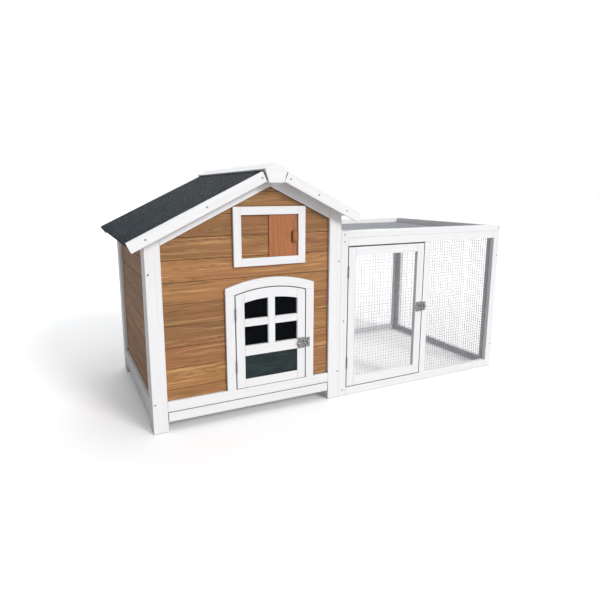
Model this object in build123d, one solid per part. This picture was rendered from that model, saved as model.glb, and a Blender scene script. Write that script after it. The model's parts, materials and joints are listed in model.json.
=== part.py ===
from build123d import *
import math
import os

# Rabbit hutch: a plank house under an uneven gable roof, with a wire run joined to its right side.
# Millimetres. The drawing is laid out from the outer bottom corner of the house's front left leg:
# X to the right along the front, Y from the front to the back, Z up from the ground.
# Every piece is moved by ROW_SHIFT when it is saved, so that the part's own origin is on the
# ground, under the centre of the whole hutch.

# ---------------------------------------------------------------- driving dimensions
TOTAL_LENGTH = 1500.0      # left leg of the house to the right end of the run
HOUSE_WIDTH = 698.0
DEPTH = 698.0              # house and run are equally deep
FRAME_T = 19.0             # thickness of every frame board
POST_WIDTH = 48.5          # gable posts and rake boards
SIDE_STILE_WIDTH = 46.0
PLANK_PITCH = 71.0         # face width of one wall plank
PLANK_T = 8.0
PLANK_GAP = 1.0            # open joint between two planks
TOP_SEAM_Z = 780.4         # highest plank joint of the gable
FRONT_RAIL_Z = (70.0, 105.0)
SIDE_RAIL_Z = (37.0, 100.0)

SLOPE = math.radians(26.0)
RIDGE_X = 420.0            # the ridge is off centre: the left slope is the longer one
UNDERSIDE_APEX_Z = 852.4   # where the two undersides of the roof decks would meet
DECK_T = 10.0
FELT_T = 2.2
LEFT_DECK_LENGTH = 524.4
RIGHT_DECK_LENGTH = 366.5
ROOF_OVERHANG = 34.0       # roof decks beyond the gable walls
BARGE_T = 12.0
BARGE_WIDTH = 34.5
BARGE_START = 44.5         # along the slope, from the ridge to the upper end of a barge board
RIDGE_BOARD_WIDTH = 38.0
RIDGE_BOARD_T = 6.0
KEYSTONE_T = 19.0
KEYSTONE_HALF = [(26.5, 808.0), (41.0, 853.5)]   # right half: (from the ridge, height) of its corners
KEYSTONE_PEAK_Z = 873.5

DOOR_GAP = 3.4             # round both doors, and where the hinge leaves sit
DOOR_T = 15.0
DOOR_CENTRE_X = 420.0
DOORWAY_WIDTH = 269.0
ARCH_CENTRE_Z = 1.0        # all curves of the arched door share this centre
ARCH_RADIUS = 459.0        # head of the doorway
ARCH_TRIM_WIDTH = 31.5
ARCH_SPRING_Z = 439.0      # joint between the arched head and the jambs
DOOR_STILE_WIDTH = 31.0
DOOR_TOP_RAIL_WIDTH = 35.0
DOOR_TOP_RAIL_LOW_Z = 379.0  # below the lowest point of the curved rail
MUNTIN_WIDTH = 26.0
MUNTIN_Z = (326.0, 352.0)
LOCK_RAIL_Z = (221.5, 257.0)
DOOR_BOTTOM_RAIL_TOP = 137.5
GLAZING_DEPTH = 11.0       # door face to the front of the pane
PANE_T = 2.0
PANEL_RECESS = 3.0

WINDOW_X = (287.0, 551.0)
WINDOW_Z = (534.0, 732.0)
WINDOW_BOARD = 27.0
WINDOW_FACE_T = 6.0
SLIDER_T = 3.8
SLIDER_X = (416.0, 530.0)
SLIDER_Z = (556.5, 709.5)
SLIDER_PLAY = 0.5          # above and below the shutter, in its runners
SLIDER_STOP = 15.0         # width of the block behind the left window board
SLIDER_REST_GAP = 1.0      # closed shutter to its right stop
HANDLE_X = (502.0, 520.0)
HANDLE_Z = (610.0, 647.0)
HANDLE_FRONT_Y = -4.0
VENT_X = (424.0, 514.0)
VENT_Z = (575.0, 692.0)

RUN_POST_WIDTH = 32.0
RUN_PANEL_HEIGHT = 614.0
RUN_BOTTOM_RAIL = 32.0
RUN_TOP_RAIL = 31.0
RUN_DOOR_X = (729.0, 1089.0)
RUN_MIDDLE_STILE_X = (1089.0, 1117.6)
RUN_DOOR_BOTTOM_RAIL = 38.0
RUN_DOOR_TOP_GAP = 5.0     # wider, so that the door clears its frame when it sags
DOOR_STOP_T = 8.0          # strip behind the top rail that the run door closes towards
DOOR_STOP_Z = (568.0, 598.0)
ROOF_FRAME_T = 23.0
ROOF_FRAME_WIDTH = 44.0
MESH_T = 1.2
MESH_LAP = 8.0             # mesh edge outside the inner edge of the stile or rail behind it
MESH_END_GAP = 10.0        # mesh edge below and above, from the ends of a wall
MESH_END_PLAY = 0.5        # front mesh to the end wall
MESH_CLEARANCE = 3.0       # between two panels of mesh at a corner
DOOR_MESH_MARGIN = 12.0    # mesh edge from the outer edge of the run door

POP_HOLE_Y = (390.0, 570.0)
POP_HOLE_Z = (108.0, 330.0)

TRAY_Z = (35.5, 67.5)
TRAY_SIDE_GAP = 2.0
PAN_T = 1.0
PAN_HEIGHT = 27.0
PAN_DEPTH = 646.0
RUNNER_SHELF_Z = (25.0, 35.2)
RUNNER_SHELF_WIDTH = 43.0
RUNNER_GUIDE_TOP_Z = 66.0

HINGE_HEIGHT = 44.0
HINGE_SLIT = 0.5           # between two knuckles
HINGE_AXIS_Y = -2.8
KNUCKLE_R = 2.4
PIN_R = 1.2
PIN_CLEARANCE = 0.06
LEAF_T = 1.0
LEAF_DEPTH = 14.0
HOUSE_HINGE_Z = (185.0, 373.0)
RUN_HINGE_Z = (132.0, 485.0)

BOLT_R = 3.0
BOLT_CLEARANCE = 0.08
BOLT_AXIS_Y = -6.4
BOLT_LENGTH = 34.0
BOLT_MIDDLE = 18.0         # from the door's edge to the middle of the withdrawn bolt
BOLT_PLATE = (28.5, 40.0)  # width and height of the plate on the door
KEEPER_PLATE = (14.0, 36.0)
BOLT_PLATE_T = 1.2
PLATE_MARGIN = 1.5         # plate to the edge of its board
GUIDE_WIDTH = 4.5
GUIDE_INSET = 0.5          # guide to the end of its plate
KEEPER_WIDTH = 8.0
KEEPER_INSET = 2.0
GUIDE_HALF_HEIGHT = 5.5
GUIDE_REACH = 5.2          # bolt axis to the front of a guide
KEEPER_CLEARANCE = 0.4
KNOB_R = 2.2
KNOB_LENGTH = 10.0
KNOB_X = 8.0               # from the plate's left edge
HOUSE_BOLT_Z = 241.0
RUN_BOLT_Z = 320.0

SCREW_HEAD_R = 3.4
SCREW_HEAD_T = 1.4
SCREW_PROUD = 0.4
SCREW_SHANK_R = 1.6
CORNER_SCREW = 32.0        # shank lengths
RAIL_SCREW = 16.0
BARGE_SCREW = 10.0
CUT_MARGIN = 1.0           # how far a cutting shape passes what it cuts

# ---------------------------------------------------------------- worked-out values
COS = math.cos(SLOPE)
SIN = math.sin(SLOPE)
TAN = math.tan(SLOPE)
RAKE_APEX_Z = UNDERSIDE_APEX_Z - POST_WIDTH / COS
DOORWAY_X = (DOOR_CENTRE_X - DOORWAY_WIDTH / 2, DOOR_CENTRE_X + DOORWAY_WIDTH / 2)
HOUSE_DOOR_X = (DOORWAY_X[0] + DOOR_GAP, DOORWAY_X[1] - DOOR_GAP)
PLANK_RECESS = FRAME_T - PLANK_T
BACK_IN = DEPTH - FRAME_T
RIGHT_IN = HOUSE_WIDTH - FRAME_T
RUN_IN = TOTAL_LENGTH - FRAME_T
ROOF_TOP_N = DECK_T + FELT_T
LEFT_EAVE_X = RIDGE_X - (LEFT_DECK_LENGTH + FELT_T) * COS - ROOF_TOP_N * SIN
ROW_SHIFT = Pos(-(LEFT_EAVE_X + TOTAL_LENGTH) / 2, -DEPTH / 2, 0)


def save(node, *pieces):
    """Write one node: a single solid, or a group of separate solids."""
    solids = [solid for piece in pieces for solid in piece.solids()]
    moved = [ROW_SHIFT * solid for solid in solids]
    shape = moved[0] if len(moved) == 1 else Compound(children=moved)
    shape.label = node
    export_step(shape, f"parts/{node}.step")


def board(x, y, z):
    """A plain board between the given (low, high) limits."""
    sizes = [high - low for low, high in (x, y, z)]
    centre = [(high + low) / 2 for low, high in (x, y, z)]
    return Pos(*centre) * Box(*sizes)


def along_y(outline, y):
    """A board whose (x, z) outline is swept from y[0] to y[1]."""
    wire = Wire.make_polygon([Vector(px, y[0], pz) for px, pz in outline], close=True)
    return Solid.extrude(Face(wire), Vector(0, y[1] - y[0], 0))


def rod(centre, radius, length, axis):
    """A round bar centred on a point, along X, Y or Z."""
    turn = {"X": Rotation(0, 90, 0), "Y": Rotation(90, 0, 0), "Z": Rotation(0, 0, 0)}[axis]
    return Pos(*centre) * turn * Cylinder(radius, length)


def disc_y(radius, y):
    """A disc about the arch centre, used to cut the arched door and its head."""
    middle = (DOOR_CENTRE_X, (y[0] + y[1]) / 2, ARCH_CENTRE_Z)
    return rod(middle, radius, y[1] - y[0], "Y")


def roof_point(side, s, n):
    """Point on a roof slope: s down the slope from the ridge, n above the deck's underside."""
    return (RIDGE_X + side * (s * COS + n * SIN), UNDERSIDE_APEX_Z - s * SIN + n * COS)


def line_z(apex, x):
    """Height, at x, of a line that falls both ways from the ridge."""
    return apex - TAN * abs(x - RIDGE_X)


def plank_seams(z_low, z_high):
    """Joint heights between z_low and z_high, with both ends included."""
    count = int((TOP_SEAM_Z - z_low) // PLANK_PITCH) + 1
    seams = [TOP_SEAM_Z - k * PLANK_PITCH for k in reversed(range(count))]
    return [z_low] + [z for z in seams if z_low < z < z_high] + [z_high]


def planks(wall, x, y, z_low, z_high):
    """Cut a wall slab into planks, each a separate solid."""
    pieces = []
    seams = plank_seams(z_low, z_high)
    for low, high in zip(seams, seams[1:]):
        bottom = low + (PLANK_GAP / 2 if low != z_low else 0)
        top = high - (PLANK_GAP / 2 if high != z_high else 0)
        pieces += (wall & board(x, y, (bottom, top))).solids()
    return pieces


# ---------------------------------------------------------------- gable walls
def gable_post(x, y):
    """Post from the ground to the underside of the roof, its top cut to the slope."""
    top = [(px, line_z(UNDERSIDE_APEX_Z, px)) for px in (x[1], x[0])]
    return along_y([(x[0], 0), (x[1], 0)] + top, y)


def rake_board(x_low, x_high, y):
    """Board under one roof slope, mitred at the ridge."""
    outline = [(x_low, line_z(RAKE_APEX_Z, x_low)), (x_high, line_z(RAKE_APEX_Z, x_high))]
    outline += [(px, line_z(UNDERSIDE_APEX_Z, px)) for px in (x_high, x_low)]
    return along_y(outline, y)


def gable_field(y):
    """The space inside a gable frame that the planks fill."""
    low, high = POST_WIDTH, HOUSE_WIDTH - POST_WIDTH
    bottom = FRONT_RAIL_Z[1]
    outline = [(low, bottom), (high, bottom), (high, line_z(RAKE_APEX_Z, high))]
    outline += [(RIDGE_X, RAKE_APEX_Z), (low, line_z(RAKE_APEX_Z, low))]
    return along_y(outline, y)


def doorway(y):
    """The arched opening for the house door, wall planks and trim alike."""
    block = board(DOORWAY_X, y, (FRONT_RAIL_Z[1], ARCH_CENTRE_Z + ARCH_RADIUS + CUT_MARGIN))
    return block & disc_y(ARCH_RADIUS, y)


def gable_frame(prefix, y):
    """Posts, rake boards and bottom rail of the front or the back gable."""
    left_x = (0, POST_WIDTH)
    right_x = (HOUSE_WIDTH - POST_WIDTH, HOUSE_WIDTH)
    posts = [gable_post(left_x, y), gable_post(right_x, y)]
    if prefix == "front":
        save("front_left_post", posts[0])
        save("front_right_post", posts[1])
    else:
        save("back_posts", *posts)
    rakes = [rake_board(left_x[1], RIDGE_X, y), rake_board(RIDGE_X, right_x[0], y)]
    save(prefix + "_rake_boards", *rakes)
    save(prefix + "_bottom_rail", board((left_x[1], right_x[0]), y, FRONT_RAIL_Z))


def gable_planks():
    """Plank fillings of both gables: the front one is open for the door and the vent."""
    span = (POST_WIDTH, HOUSE_WIDTH - POST_WIDTH)
    front_y = (PLANK_RECESS, FRAME_T)
    front = gable_field(front_y) - doorway(front_y) - board(VENT_X, front_y, VENT_Z)
    save("front_planks", *planks(front, span, front_y, FRONT_RAIL_Z[1], RAKE_APEX_Z))
    back_y = (BACK_IN, DEPTH - PLANK_RECESS)
    back = gable_field(back_y)
    save("back_planks", *planks(back, span, back_y, FRONT_RAIL_Z[1], RAKE_APEX_Z))


# ---------------------------------------------------------------- side walls of the house
def side_wall(name, x, plank_x, top_z, hole=None):
    """Two stiles that are also legs, two rails and the planks between them."""
    stile_y = [(FRAME_T, FRAME_T + SIDE_STILE_WIDTH), (BACK_IN - SIDE_STILE_WIDTH, BACK_IN)]
    save(name + "_stiles", *[board(x, y, (0, top_z)) for y in stile_y])
    between = (stile_y[0][1], stile_y[1][0])
    top_rail_z = (top_z - POST_WIDTH, top_z)
    save(name + "_rails", board(x, between, SIDE_RAIL_Z), board(x, between, top_rail_z))
    wall = board(plank_x, between, (SIDE_RAIL_Z[1], top_rail_z[0]))
    if hole is not None:
        wall = wall - hole
    save(name + "_planks", *planks(wall, plank_x, between, SIDE_RAIL_Z[1], top_rail_z[0]))


def side_walls():
    left_top = line_z(UNDERSIDE_APEX_Z, 0)
    side_wall("left_side", (0, FRAME_T), (PLANK_RECESS, FRAME_T), left_top)
    right_top = line_z(UNDERSIDE_APEX_Z, HOUSE_WIDTH)
    plank_x = (RIGHT_IN, RIGHT_IN + PLANK_T)
    pop_hole = board(plank_x, POP_HOLE_Y, POP_HOLE_Z)
    side_wall("right_side", (RIGHT_IN, HOUSE_WIDTH), plank_x, right_top, pop_hole)


# ---------------------------------------------------------------- roof
def slope_slab(side, s, n, y):
    """A flat slab on one slope, cut square at both ends."""
    corners = [(s[0], n[0]), (s[1], n[0]), (s[1], n[1]), (s[0], n[1])]
    return along_y([roof_point(side, *corner) for corner in corners], y)


def ridge_slab(side, length, n, y):
    """A flat slab on one slope that meets its neighbour in a plumb joint at the ridge."""
    outline = [(RIDGE_X, UNDERSIDE_APEX_Z + n[0] / COS), roof_point(side, length, n[0])]
    outline += [roof_point(side, length, n[1]), (RIDGE_X, UNDERSIDE_APEX_Z + n[1] / COS)]
    return along_y(outline, y)


def roof_felt(side, length, y):
    """Mineral felt on the deck, turned down over the eave's edge."""
    top = ridge_slab(side, length, (DECK_T, ROOF_TOP_N), y)
    lip = slope_slab(side, (length, length + FELT_T), (0, ROOF_TOP_N), y)
    return top + lip


def barge_board(side, length, y):
    return slope_slab(side, (BARGE_START, length), (ROOF_TOP_N - BARGE_WIDTH, ROOF_TOP_N), y)


def keystone(y):
    """Block that covers the joint of two barge boards and the end of the ridge boards."""
    right = [(RIDGE_X + x, z) for x, z in KEYSTONE_HALF]
    left = [(RIDGE_X - x, z) for x, z in reversed(KEYSTONE_HALF)]
    return along_y(right + [(RIDGE_X, KEYSTONE_PEAK_Z)] + left, y)


def roof():
    deck_y = (-ROOF_OVERHANG, DEPTH + ROOF_OVERHANG)
    lengths = {-1: LEFT_DECK_LENGTH, 1: RIGHT_DECK_LENGTH}
    for side, name in ((-1, "left"), (1, "right")):
        save("roof_deck_" + name, ridge_slab(side, lengths[side], (0, DECK_T), deck_y))
        save("felt_" + name, roof_felt(side, lengths[side], deck_y))
    ridge_n = (ROOF_TOP_N, ROOF_TOP_N + RIDGE_BOARD_T)
    save("ridge_cap_boards", *[ridge_slab(side, RIDGE_BOARD_WIDTH, ridge_n, deck_y) for side in (-1, 1)])
    front_y = (deck_y[0] - BARGE_T, deck_y[0])
    back_y = (deck_y[1], deck_y[1] + BARGE_T)
    save("front_barge_boards", *[barge_board(side, lengths[side], front_y) for side in (-1, 1)])
    save("back_barge_boards", *[barge_board(side, lengths[side], back_y) for side in (-1, 1)])
    front_key_y = (deck_y[0] - KEYSTONE_T, deck_y[0])
    back_key_y = (deck_y[1], deck_y[1] + KEYSTONE_T)
    save("gable_keystones", keystone(front_key_y), keystone(back_key_y))


# ---------------------------------------------------------------- door trim and window
def door_trim():
    """Arched head and two jambs, nailed on the planks round the doorway."""
    trim_y = (0, PLANK_RECESS)
    outer_x = (DOORWAY_X[0] - ARCH_TRIM_WIDTH, DOORWAY_X[1] + ARCH_TRIM_WIDTH)
    outer_r = ARCH_RADIUS + ARCH_TRIM_WIDTH
    block = board(outer_x, trim_y, (ARCH_SPRING_Z, ARCH_CENTRE_Z + outer_r + CUT_MARGIN))
    save("door_arch_head", (block & disc_y(outer_r, trim_y)) - doorway(trim_y))
    jamb_z = (FRONT_RAIL_Z[1], ARCH_SPRING_Z)
    jambs = [board((outer_x[0], DOORWAY_X[0]), trim_y, jamb_z)]
    jambs.append(board((DOORWAY_X[1], outer_x[1]), trim_y, jamb_z))
    save("door_jambs", *jambs)


def window():
    """White frame, the runners behind it and the sliding shutter with its handle block."""
    face_y = (0, WINDOW_FACE_T)
    inner_x = (WINDOW_X[0] + WINDOW_BOARD, WINDOW_X[1] - WINDOW_BOARD)
    inner_z = (WINDOW_Z[0] + WINDOW_BOARD, WINDOW_Z[1] - WINDOW_BOARD)
    boards = [board((WINDOW_X[0], inner_x[0]), face_y, WINDOW_Z)]
    boards.append(board((inner_x[1], WINDOW_X[1]), face_y, WINDOW_Z))
    boards.append(board(inner_x, face_y, (WINDOW_Z[0], inner_z[0])))
    boards.append(board(inner_x, face_y, (inner_z[1], WINDOW_Z[1])))
    save("window_frame", *boards)
    runner_y = (WINDOW_FACE_T, PLANK_RECESS)
    end_z = (SLIDER_Z[0] - SLIDER_PLAY, SLIDER_Z[1] + SLIDER_PLAY)
    top = board(WINDOW_X, runner_y, (end_z[1], WINDOW_Z[1]))
    bottom = board(WINDOW_X, runner_y, (WINDOW_Z[0], end_z[0]))
    left_stop = board((WINDOW_X[0], WINDOW_X[0] + SLIDER_STOP), runner_y, end_z)
    right_stop = board((SLIDER_X[1] + SLIDER_REST_GAP, WINDOW_X[1]), runner_y, end_z)
    save("slider_runners", top, bottom, left_stop, right_stop)
    slide_play = (runner_y[1] - runner_y[0] - SLIDER_T) / 2
    panel_y = (runner_y[0] + slide_play, runner_y[1] - slide_play)
    save("slider_panel", board(SLIDER_X, panel_y, SLIDER_Z))
    save("slider_handle", board(HANDLE_X, (HANDLE_FRONT_Y, panel_y[0]), HANDLE_Z))


# ---------------------------------------------------------------- hinges and barrel bolts
def hinge_leaf(axis_x, leaf_x, z, zones, bore):
    """Leaf let into an edge, with a knuckle round the pin at each zone of its height."""
    leaf = board(leaf_x, (0, LEAF_DEPTH), (z - HINGE_HEIGHT / 2, z + HINGE_HEIGHT / 2))
    for zone in zones:
        middle = (axis_x, HINGE_AXIS_Y, (zone[0] + zone[1]) / 2)
        length = zone[1] - zone[0]
        leaf += board(leaf_x, (HINGE_AXIS_Y, 0), zone)
        leaf += rod(middle, KNUCKLE_R, length, "Z")
        leaf -= rod(middle, bore, length + HINGE_SLIT, "Z")
    return leaf


def hinge(axis_x, z):
    """One butt hinge: leaf on the frame's edge, leaf on the door's edge, and the pin."""
    end = HINGE_HEIGHT / 2
    knuckle = HINGE_HEIGHT / 6 + HINGE_SLIT / 2
    outer_zones = [(z - end, z - knuckle), (z + knuckle, z + end)]
    middle_zone = (z - knuckle + HINGE_SLIT, z + knuckle - HINGE_SLIT)
    half_gap = DOOR_GAP / 2
    frame_x = (axis_x - half_gap, axis_x - half_gap + LEAF_T)
    door_x = (axis_x + half_gap - LEAF_T, axis_x + half_gap)
    frame_leaf = hinge_leaf(axis_x, frame_x, z, outer_zones, PIN_R)
    door_leaf = hinge_leaf(axis_x, door_x, z, [middle_zone], PIN_R + PIN_CLEARANCE)
    pin = rod((axis_x, HINGE_AXIS_Y, z), PIN_R, HINGE_HEIGHT, "Z")
    return frame_leaf, door_leaf, pin


def hinges():
    house = [hinge(DOORWAY_X[0] + DOOR_GAP / 2, z) for z in HOUSE_HINGE_Z]
    run = [hinge(RUN_DOOR_X[0] + DOOR_GAP / 2, z) for z in RUN_HINGE_Z]
    save("hinge_frame_leaves", *[parts[0] for parts in house + run])
    save("house_hinge_door_leaves", *[parts[1] for parts in house])
    save("run_hinge_door_leaves", *[parts[1] for parts in run])
    save("hinge_pins", *[parts[2] for parts in house + run])


def bolt_loop(x, z, bore):
    """Square guide that stands on a plate and holds the sliding bolt."""
    loop_y = (BOLT_AXIS_Y - GUIDE_REACH, -BOLT_PLATE_T / 2)
    loop = board(x, loop_y, (z - GUIDE_HALF_HEIGHT, z + GUIDE_HALF_HEIGHT))
    return loop - rod(((x[0] + x[1]) / 2, BOLT_AXIS_Y, z), bore, x[1] - x[0] + CUT_MARGIN, "X")


def steel_plate(left_x, size, z):
    """Flat plate on the face of a board, given its (width, height)."""
    return board((left_x, left_x + size[0]), (-BOLT_PLATE_T, 0), (z - size[1] / 2, z + size[1] / 2))


def barrel_bolt(name, door_edge, frame_edge, z):
    """Plate with two guides on the door, the bolt in them, and the keeper on the frame."""
    plate_left = door_edge - PLATE_MARGIN - BOLT_PLATE[0]
    plate = steel_plate(plate_left, BOLT_PLATE, z)
    right_guide = plate_left + BOLT_PLATE[0] - GUIDE_WIDTH - GUIDE_INSET
    for start in (plate_left + GUIDE_INSET, right_guide):
        plate += bolt_loop((start, start + GUIDE_WIDTH), z, BOLT_R + BOLT_CLEARANCE)
    save(name + "_bolt_plate", plate)
    bolt = rod((door_edge - BOLT_MIDDLE, BOLT_AXIS_Y, z), BOLT_R, BOLT_LENGTH, "X")
    bolt += rod((plate_left + KNOB_X, BOLT_AXIS_Y - KNOB_LENGTH / 2, z), KNOB_R, KNOB_LENGTH, "Y")
    save(name + "_bolt", bolt)
    keeper_left = frame_edge + PLATE_MARGIN
    keeper = steel_plate(keeper_left, KEEPER_PLATE, z)
    loop_left = keeper_left + KEEPER_INSET
    return keeper + bolt_loop((loop_left, loop_left + KEEPER_WIDTH), z, BOLT_R + KEEPER_CLEARANCE)


def bolts():
    house = barrel_bolt("house", HOUSE_DOOR_X[1], DOORWAY_X[1], HOUSE_BOLT_Z)
    run = barrel_bolt("run", RUN_DOOR_X[1] - DOOR_GAP, RUN_DOOR_X[1], RUN_BOLT_Z)
    save("bolt_keepers", house, run)


# ---------------------------------------------------------------- house door
def house_door():
    """Arched frame with four lights over a dark panel."""
    y = (0, DOOR_T)
    muntin_y = (0, GLAZING_DEPTH)
    pane_y = (GLAZING_DEPTH, GLAZING_DEPTH + PANE_T)
    bottom = FRONT_RAIL_Z[1] + DOOR_GAP / 2
    crown = ARCH_CENTRE_Z + ARCH_RADIUS
    top_r = ARCH_RADIUS - DOOR_GAP
    light_r = top_r - DOOR_TOP_RAIL_WIDTH
    inner_x = (HOUSE_DOOR_X[0] + DOOR_STILE_WIDTH, HOUSE_DOOR_X[1] - DOOR_STILE_WIDTH)
    stiles = [board((HOUSE_DOOR_X[0], inner_x[0]), y, (bottom, crown))]
    stiles.append(board((inner_x[1], HOUSE_DOOR_X[1]), y, (bottom, crown)))
    save("house_door_stiles", *[stile & disc_y(top_r, y) for stile in stiles])
    top_block = board(inner_x, y, (DOOR_TOP_RAIL_LOW_Z, crown))
    save("house_door_top_rail", (top_block & disc_y(top_r, y)) - disc_y(light_r, y))
    lock_rail = board(inner_x, y, LOCK_RAIL_Z)
    save("house_door_rails", lock_rail, board(inner_x, y, (bottom, DOOR_BOTTOM_RAIL_TOP)))
    half = MUNTIN_WIDTH / 2
    upright_x = (DOOR_CENTRE_X - half, DOOR_CENTRE_X + half)
    upright = board(upright_x, muntin_y, (LOCK_RAIL_Z[1], crown)) & disc_y(light_r, muntin_y)
    bars = [board((inner_x[0], upright_x[0]), muntin_y, MUNTIN_Z)]
    bars.append(board((upright_x[1], inner_x[1]), muntin_y, MUNTIN_Z))
    save("house_door_muntins", upright, *bars)
    pane = board(inner_x, pane_y, (LOCK_RAIL_Z[1], crown)) & disc_y(light_r, pane_y)
    save("house_door_pane", pane)
    panel_y = (PANEL_RECESS, DOOR_T - PANEL_RECESS)
    save("house_door_panel", board(inner_x, panel_y, (DOOR_BOTTOM_RAIL_TOP, LOCK_RAIL_Z[0])))


# ---------------------------------------------------------------- wire run
def panel_frame(x, y, z, member, along):
    """Rectangular frame: two full-height stiles and two rails between them.

    x, y and z are the outer limits, and along names the level axis that the frame runs along.
    """
    limits = {"X": x, "Y": y}
    low, high = limits[along]
    pieces = []
    for span in ((low, low + member), (high - member, high)):
        spans = dict(limits, **{along: span})
        pieces.append(board(spans["X"], spans["Y"], z))
    rail = dict(limits, **{along: (low + member, high - member)})
    for rail_z in ((z[0], z[0] + member), (z[1] - member, z[1])):
        pieces.append(board(rail["X"], rail["Y"], rail_z))
    return pieces


def run_front():
    """Front of the run: three stiles, two rails, a door stop and the mesh beside the door."""
    y = (0, FRAME_T)
    stile_z = (0, RUN_PANEL_HEIGHT)
    right_stile_x = (TOTAL_LENGTH - RUN_POST_WIDTH, TOTAL_LENGTH)
    left_stile = board((HOUSE_WIDTH, RUN_DOOR_X[0]), y, stile_z)
    right_stile = board(right_stile_x, y, stile_z)
    top_z = RUN_PANEL_HEIGHT - RUN_TOP_RAIL
    middle_stile = board(RUN_MIDDLE_STILE_X, y, (RUN_BOTTOM_RAIL, top_z))
    save("run_front_stiles", left_stile, middle_stile, right_stile)
    rail_x = (RUN_DOOR_X[0], right_stile_x[0])
    bottom_rail = board(rail_x, y, (0, RUN_BOTTOM_RAIL))
    top_rail = board(rail_x, y, (top_z, RUN_PANEL_HEIGHT))
    door_stop = board(RUN_DOOR_X, (FRAME_T, FRAME_T + DOOR_STOP_T), DOOR_STOP_Z)
    save("run_front_rails", bottom_rail, top_rail, door_stop)
    mesh_x = (RUN_MIDDLE_STILE_X[0] + MESH_LAP, RUN_IN - MESH_END_PLAY)
    mesh_y = (FRAME_T, FRAME_T + MESH_T)
    mesh_z = (MESH_END_GAP, RUN_PANEL_HEIGHT - MESH_END_GAP)
    save("run_front_mesh", board(mesh_x, mesh_y, mesh_z))


def run_walls():
    """End wall and back wall of the run, each a frame with mesh stapled inside."""
    z = (0, RUN_PANEL_HEIGHT)
    mesh_z = (MESH_END_GAP, RUN_PANEL_HEIGHT - MESH_END_GAP)
    side_y = (FRAME_T, BACK_IN)
    side = panel_frame((RUN_IN, TOTAL_LENGTH), side_y, z, RUN_POST_WIDTH, "Y")
    save("run_side_frame", *side)
    side_mesh_y = (side_y[0] + MESH_LAP, side_y[1] - MESH_LAP)
    save("run_side_mesh", board((RUN_IN - MESH_T, RUN_IN), side_mesh_y, mesh_z))
    back_x = (HOUSE_WIDTH, TOTAL_LENGTH)
    back = panel_frame(back_x, (BACK_IN, DEPTH), z, RUN_POST_WIDTH, "X")
    save("run_back_frame", *back)
    back_mesh_x = (HOUSE_WIDTH + MESH_LAP, RUN_IN - MESH_CLEARANCE)
    save("run_back_mesh", board(back_mesh_x, (BACK_IN - MESH_T, BACK_IN), mesh_z))


def run_roof():
    """Flat frame on top of the run's walls, with mesh under it."""
    z = (RUN_PANEL_HEIGHT, RUN_PANEL_HEIGHT + ROOF_FRAME_T)
    x = (HOUSE_WIDTH, TOTAL_LENGTH)
    inner_y = (ROOF_FRAME_WIDTH, DEPTH - ROOF_FRAME_WIDTH)
    rails = [board(x, (0, inner_y[0]), z), board(x, (inner_y[1], DEPTH), z)]
    rails.append(board((x[0], x[0] + ROOF_FRAME_WIDTH), inner_y, z))
    rails.append(board((x[1] - ROOF_FRAME_WIDTH, x[1]), inner_y, z))
    save("run_roof_frame", *rails)
    inset = MESH_T + MESH_CLEARANCE
    mesh_y = (FRAME_T + inset, BACK_IN - inset)
    mesh_x = (HOUSE_WIDTH + MESH_LAP, RUN_IN - inset)
    save("run_roof_mesh", board(mesh_x, mesh_y, (z[0] - MESH_T, z[0])))


def run_door():
    y = (0, DOOR_T)
    x = (RUN_DOOR_X[0] + DOOR_GAP, RUN_DOOR_X[1] - DOOR_GAP)
    z = (RUN_BOTTOM_RAIL + DOOR_GAP, RUN_PANEL_HEIGHT - RUN_TOP_RAIL - RUN_DOOR_TOP_GAP)
    inner_x = (x[0] + RUN_POST_WIDTH, x[1] - RUN_POST_WIDTH)
    save("run_door_stiles", board((x[0], inner_x[0]), y, z), board((inner_x[1], x[1]), y, z))
    bottom_z = (z[0], z[0] + RUN_DOOR_BOTTOM_RAIL)
    top_z = (z[1] - RUN_POST_WIDTH, z[1])
    save("run_door_rails", board(inner_x, y, bottom_z), board(inner_x, y, top_z))
    mesh_x = (x[0] + DOOR_MESH_MARGIN, x[1] - DOOR_MESH_MARGIN)
    mesh_z = (z[0] + DOOR_MESH_MARGIN, z[1] - DOOR_MESH_MARGIN)
    save("run_door_mesh", board(mesh_x, (DOOR_T, DOOR_T + MESH_T), mesh_z))


# ---------------------------------------------------------------- pull-out tray
def tray():
    """Steel pan behind a white front board, on two runners between the legs."""
    opening_x = (POST_WIDTH, HOUSE_WIDTH - POST_WIDTH)
    front_x = (opening_x[0] + TRAY_SIDE_GAP, opening_x[1] - TRAY_SIDE_GAP)
    save("tray_front", board(front_x, (0, FRAME_T), TRAY_Z))
    pan_x = (front_x[0] + PAN_T, front_x[1] - PAN_T)
    pan_y = (FRAME_T, FRAME_T + PAN_DEPTH)
    pan_z = (TRAY_Z[0], TRAY_Z[0] + PAN_HEIGHT)
    inside = [(limit[0] + PAN_T, limit[1] - PAN_T) for limit in (pan_x, pan_y)]
    pan = board(pan_x, pan_y, pan_z) - board(*inside, (pan_z[0] + PAN_T, pan_z[1] + CUT_MARGIN))
    save("tray_pan", pan)
    runners = []
    for wall, inward in ((FRAME_T, 1), (RIGHT_IN, -1)):
        shelf_x = sorted((wall, wall + inward * RUNNER_SHELF_WIDTH))
        guide_end = front_x[0] if inward == 1 else front_x[1]
        guide_x = sorted((wall, guide_end))
        shelf = board(shelf_x, (FRAME_T, BACK_IN), RUNNER_SHELF_Z)
        runners.append(shelf + board(guide_x, (FRAME_T, BACK_IN), (RUNNER_SHELF_Z[1], RUNNER_GUIDE_TOP_Z)))
    save("tray_runners", *runners)


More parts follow.
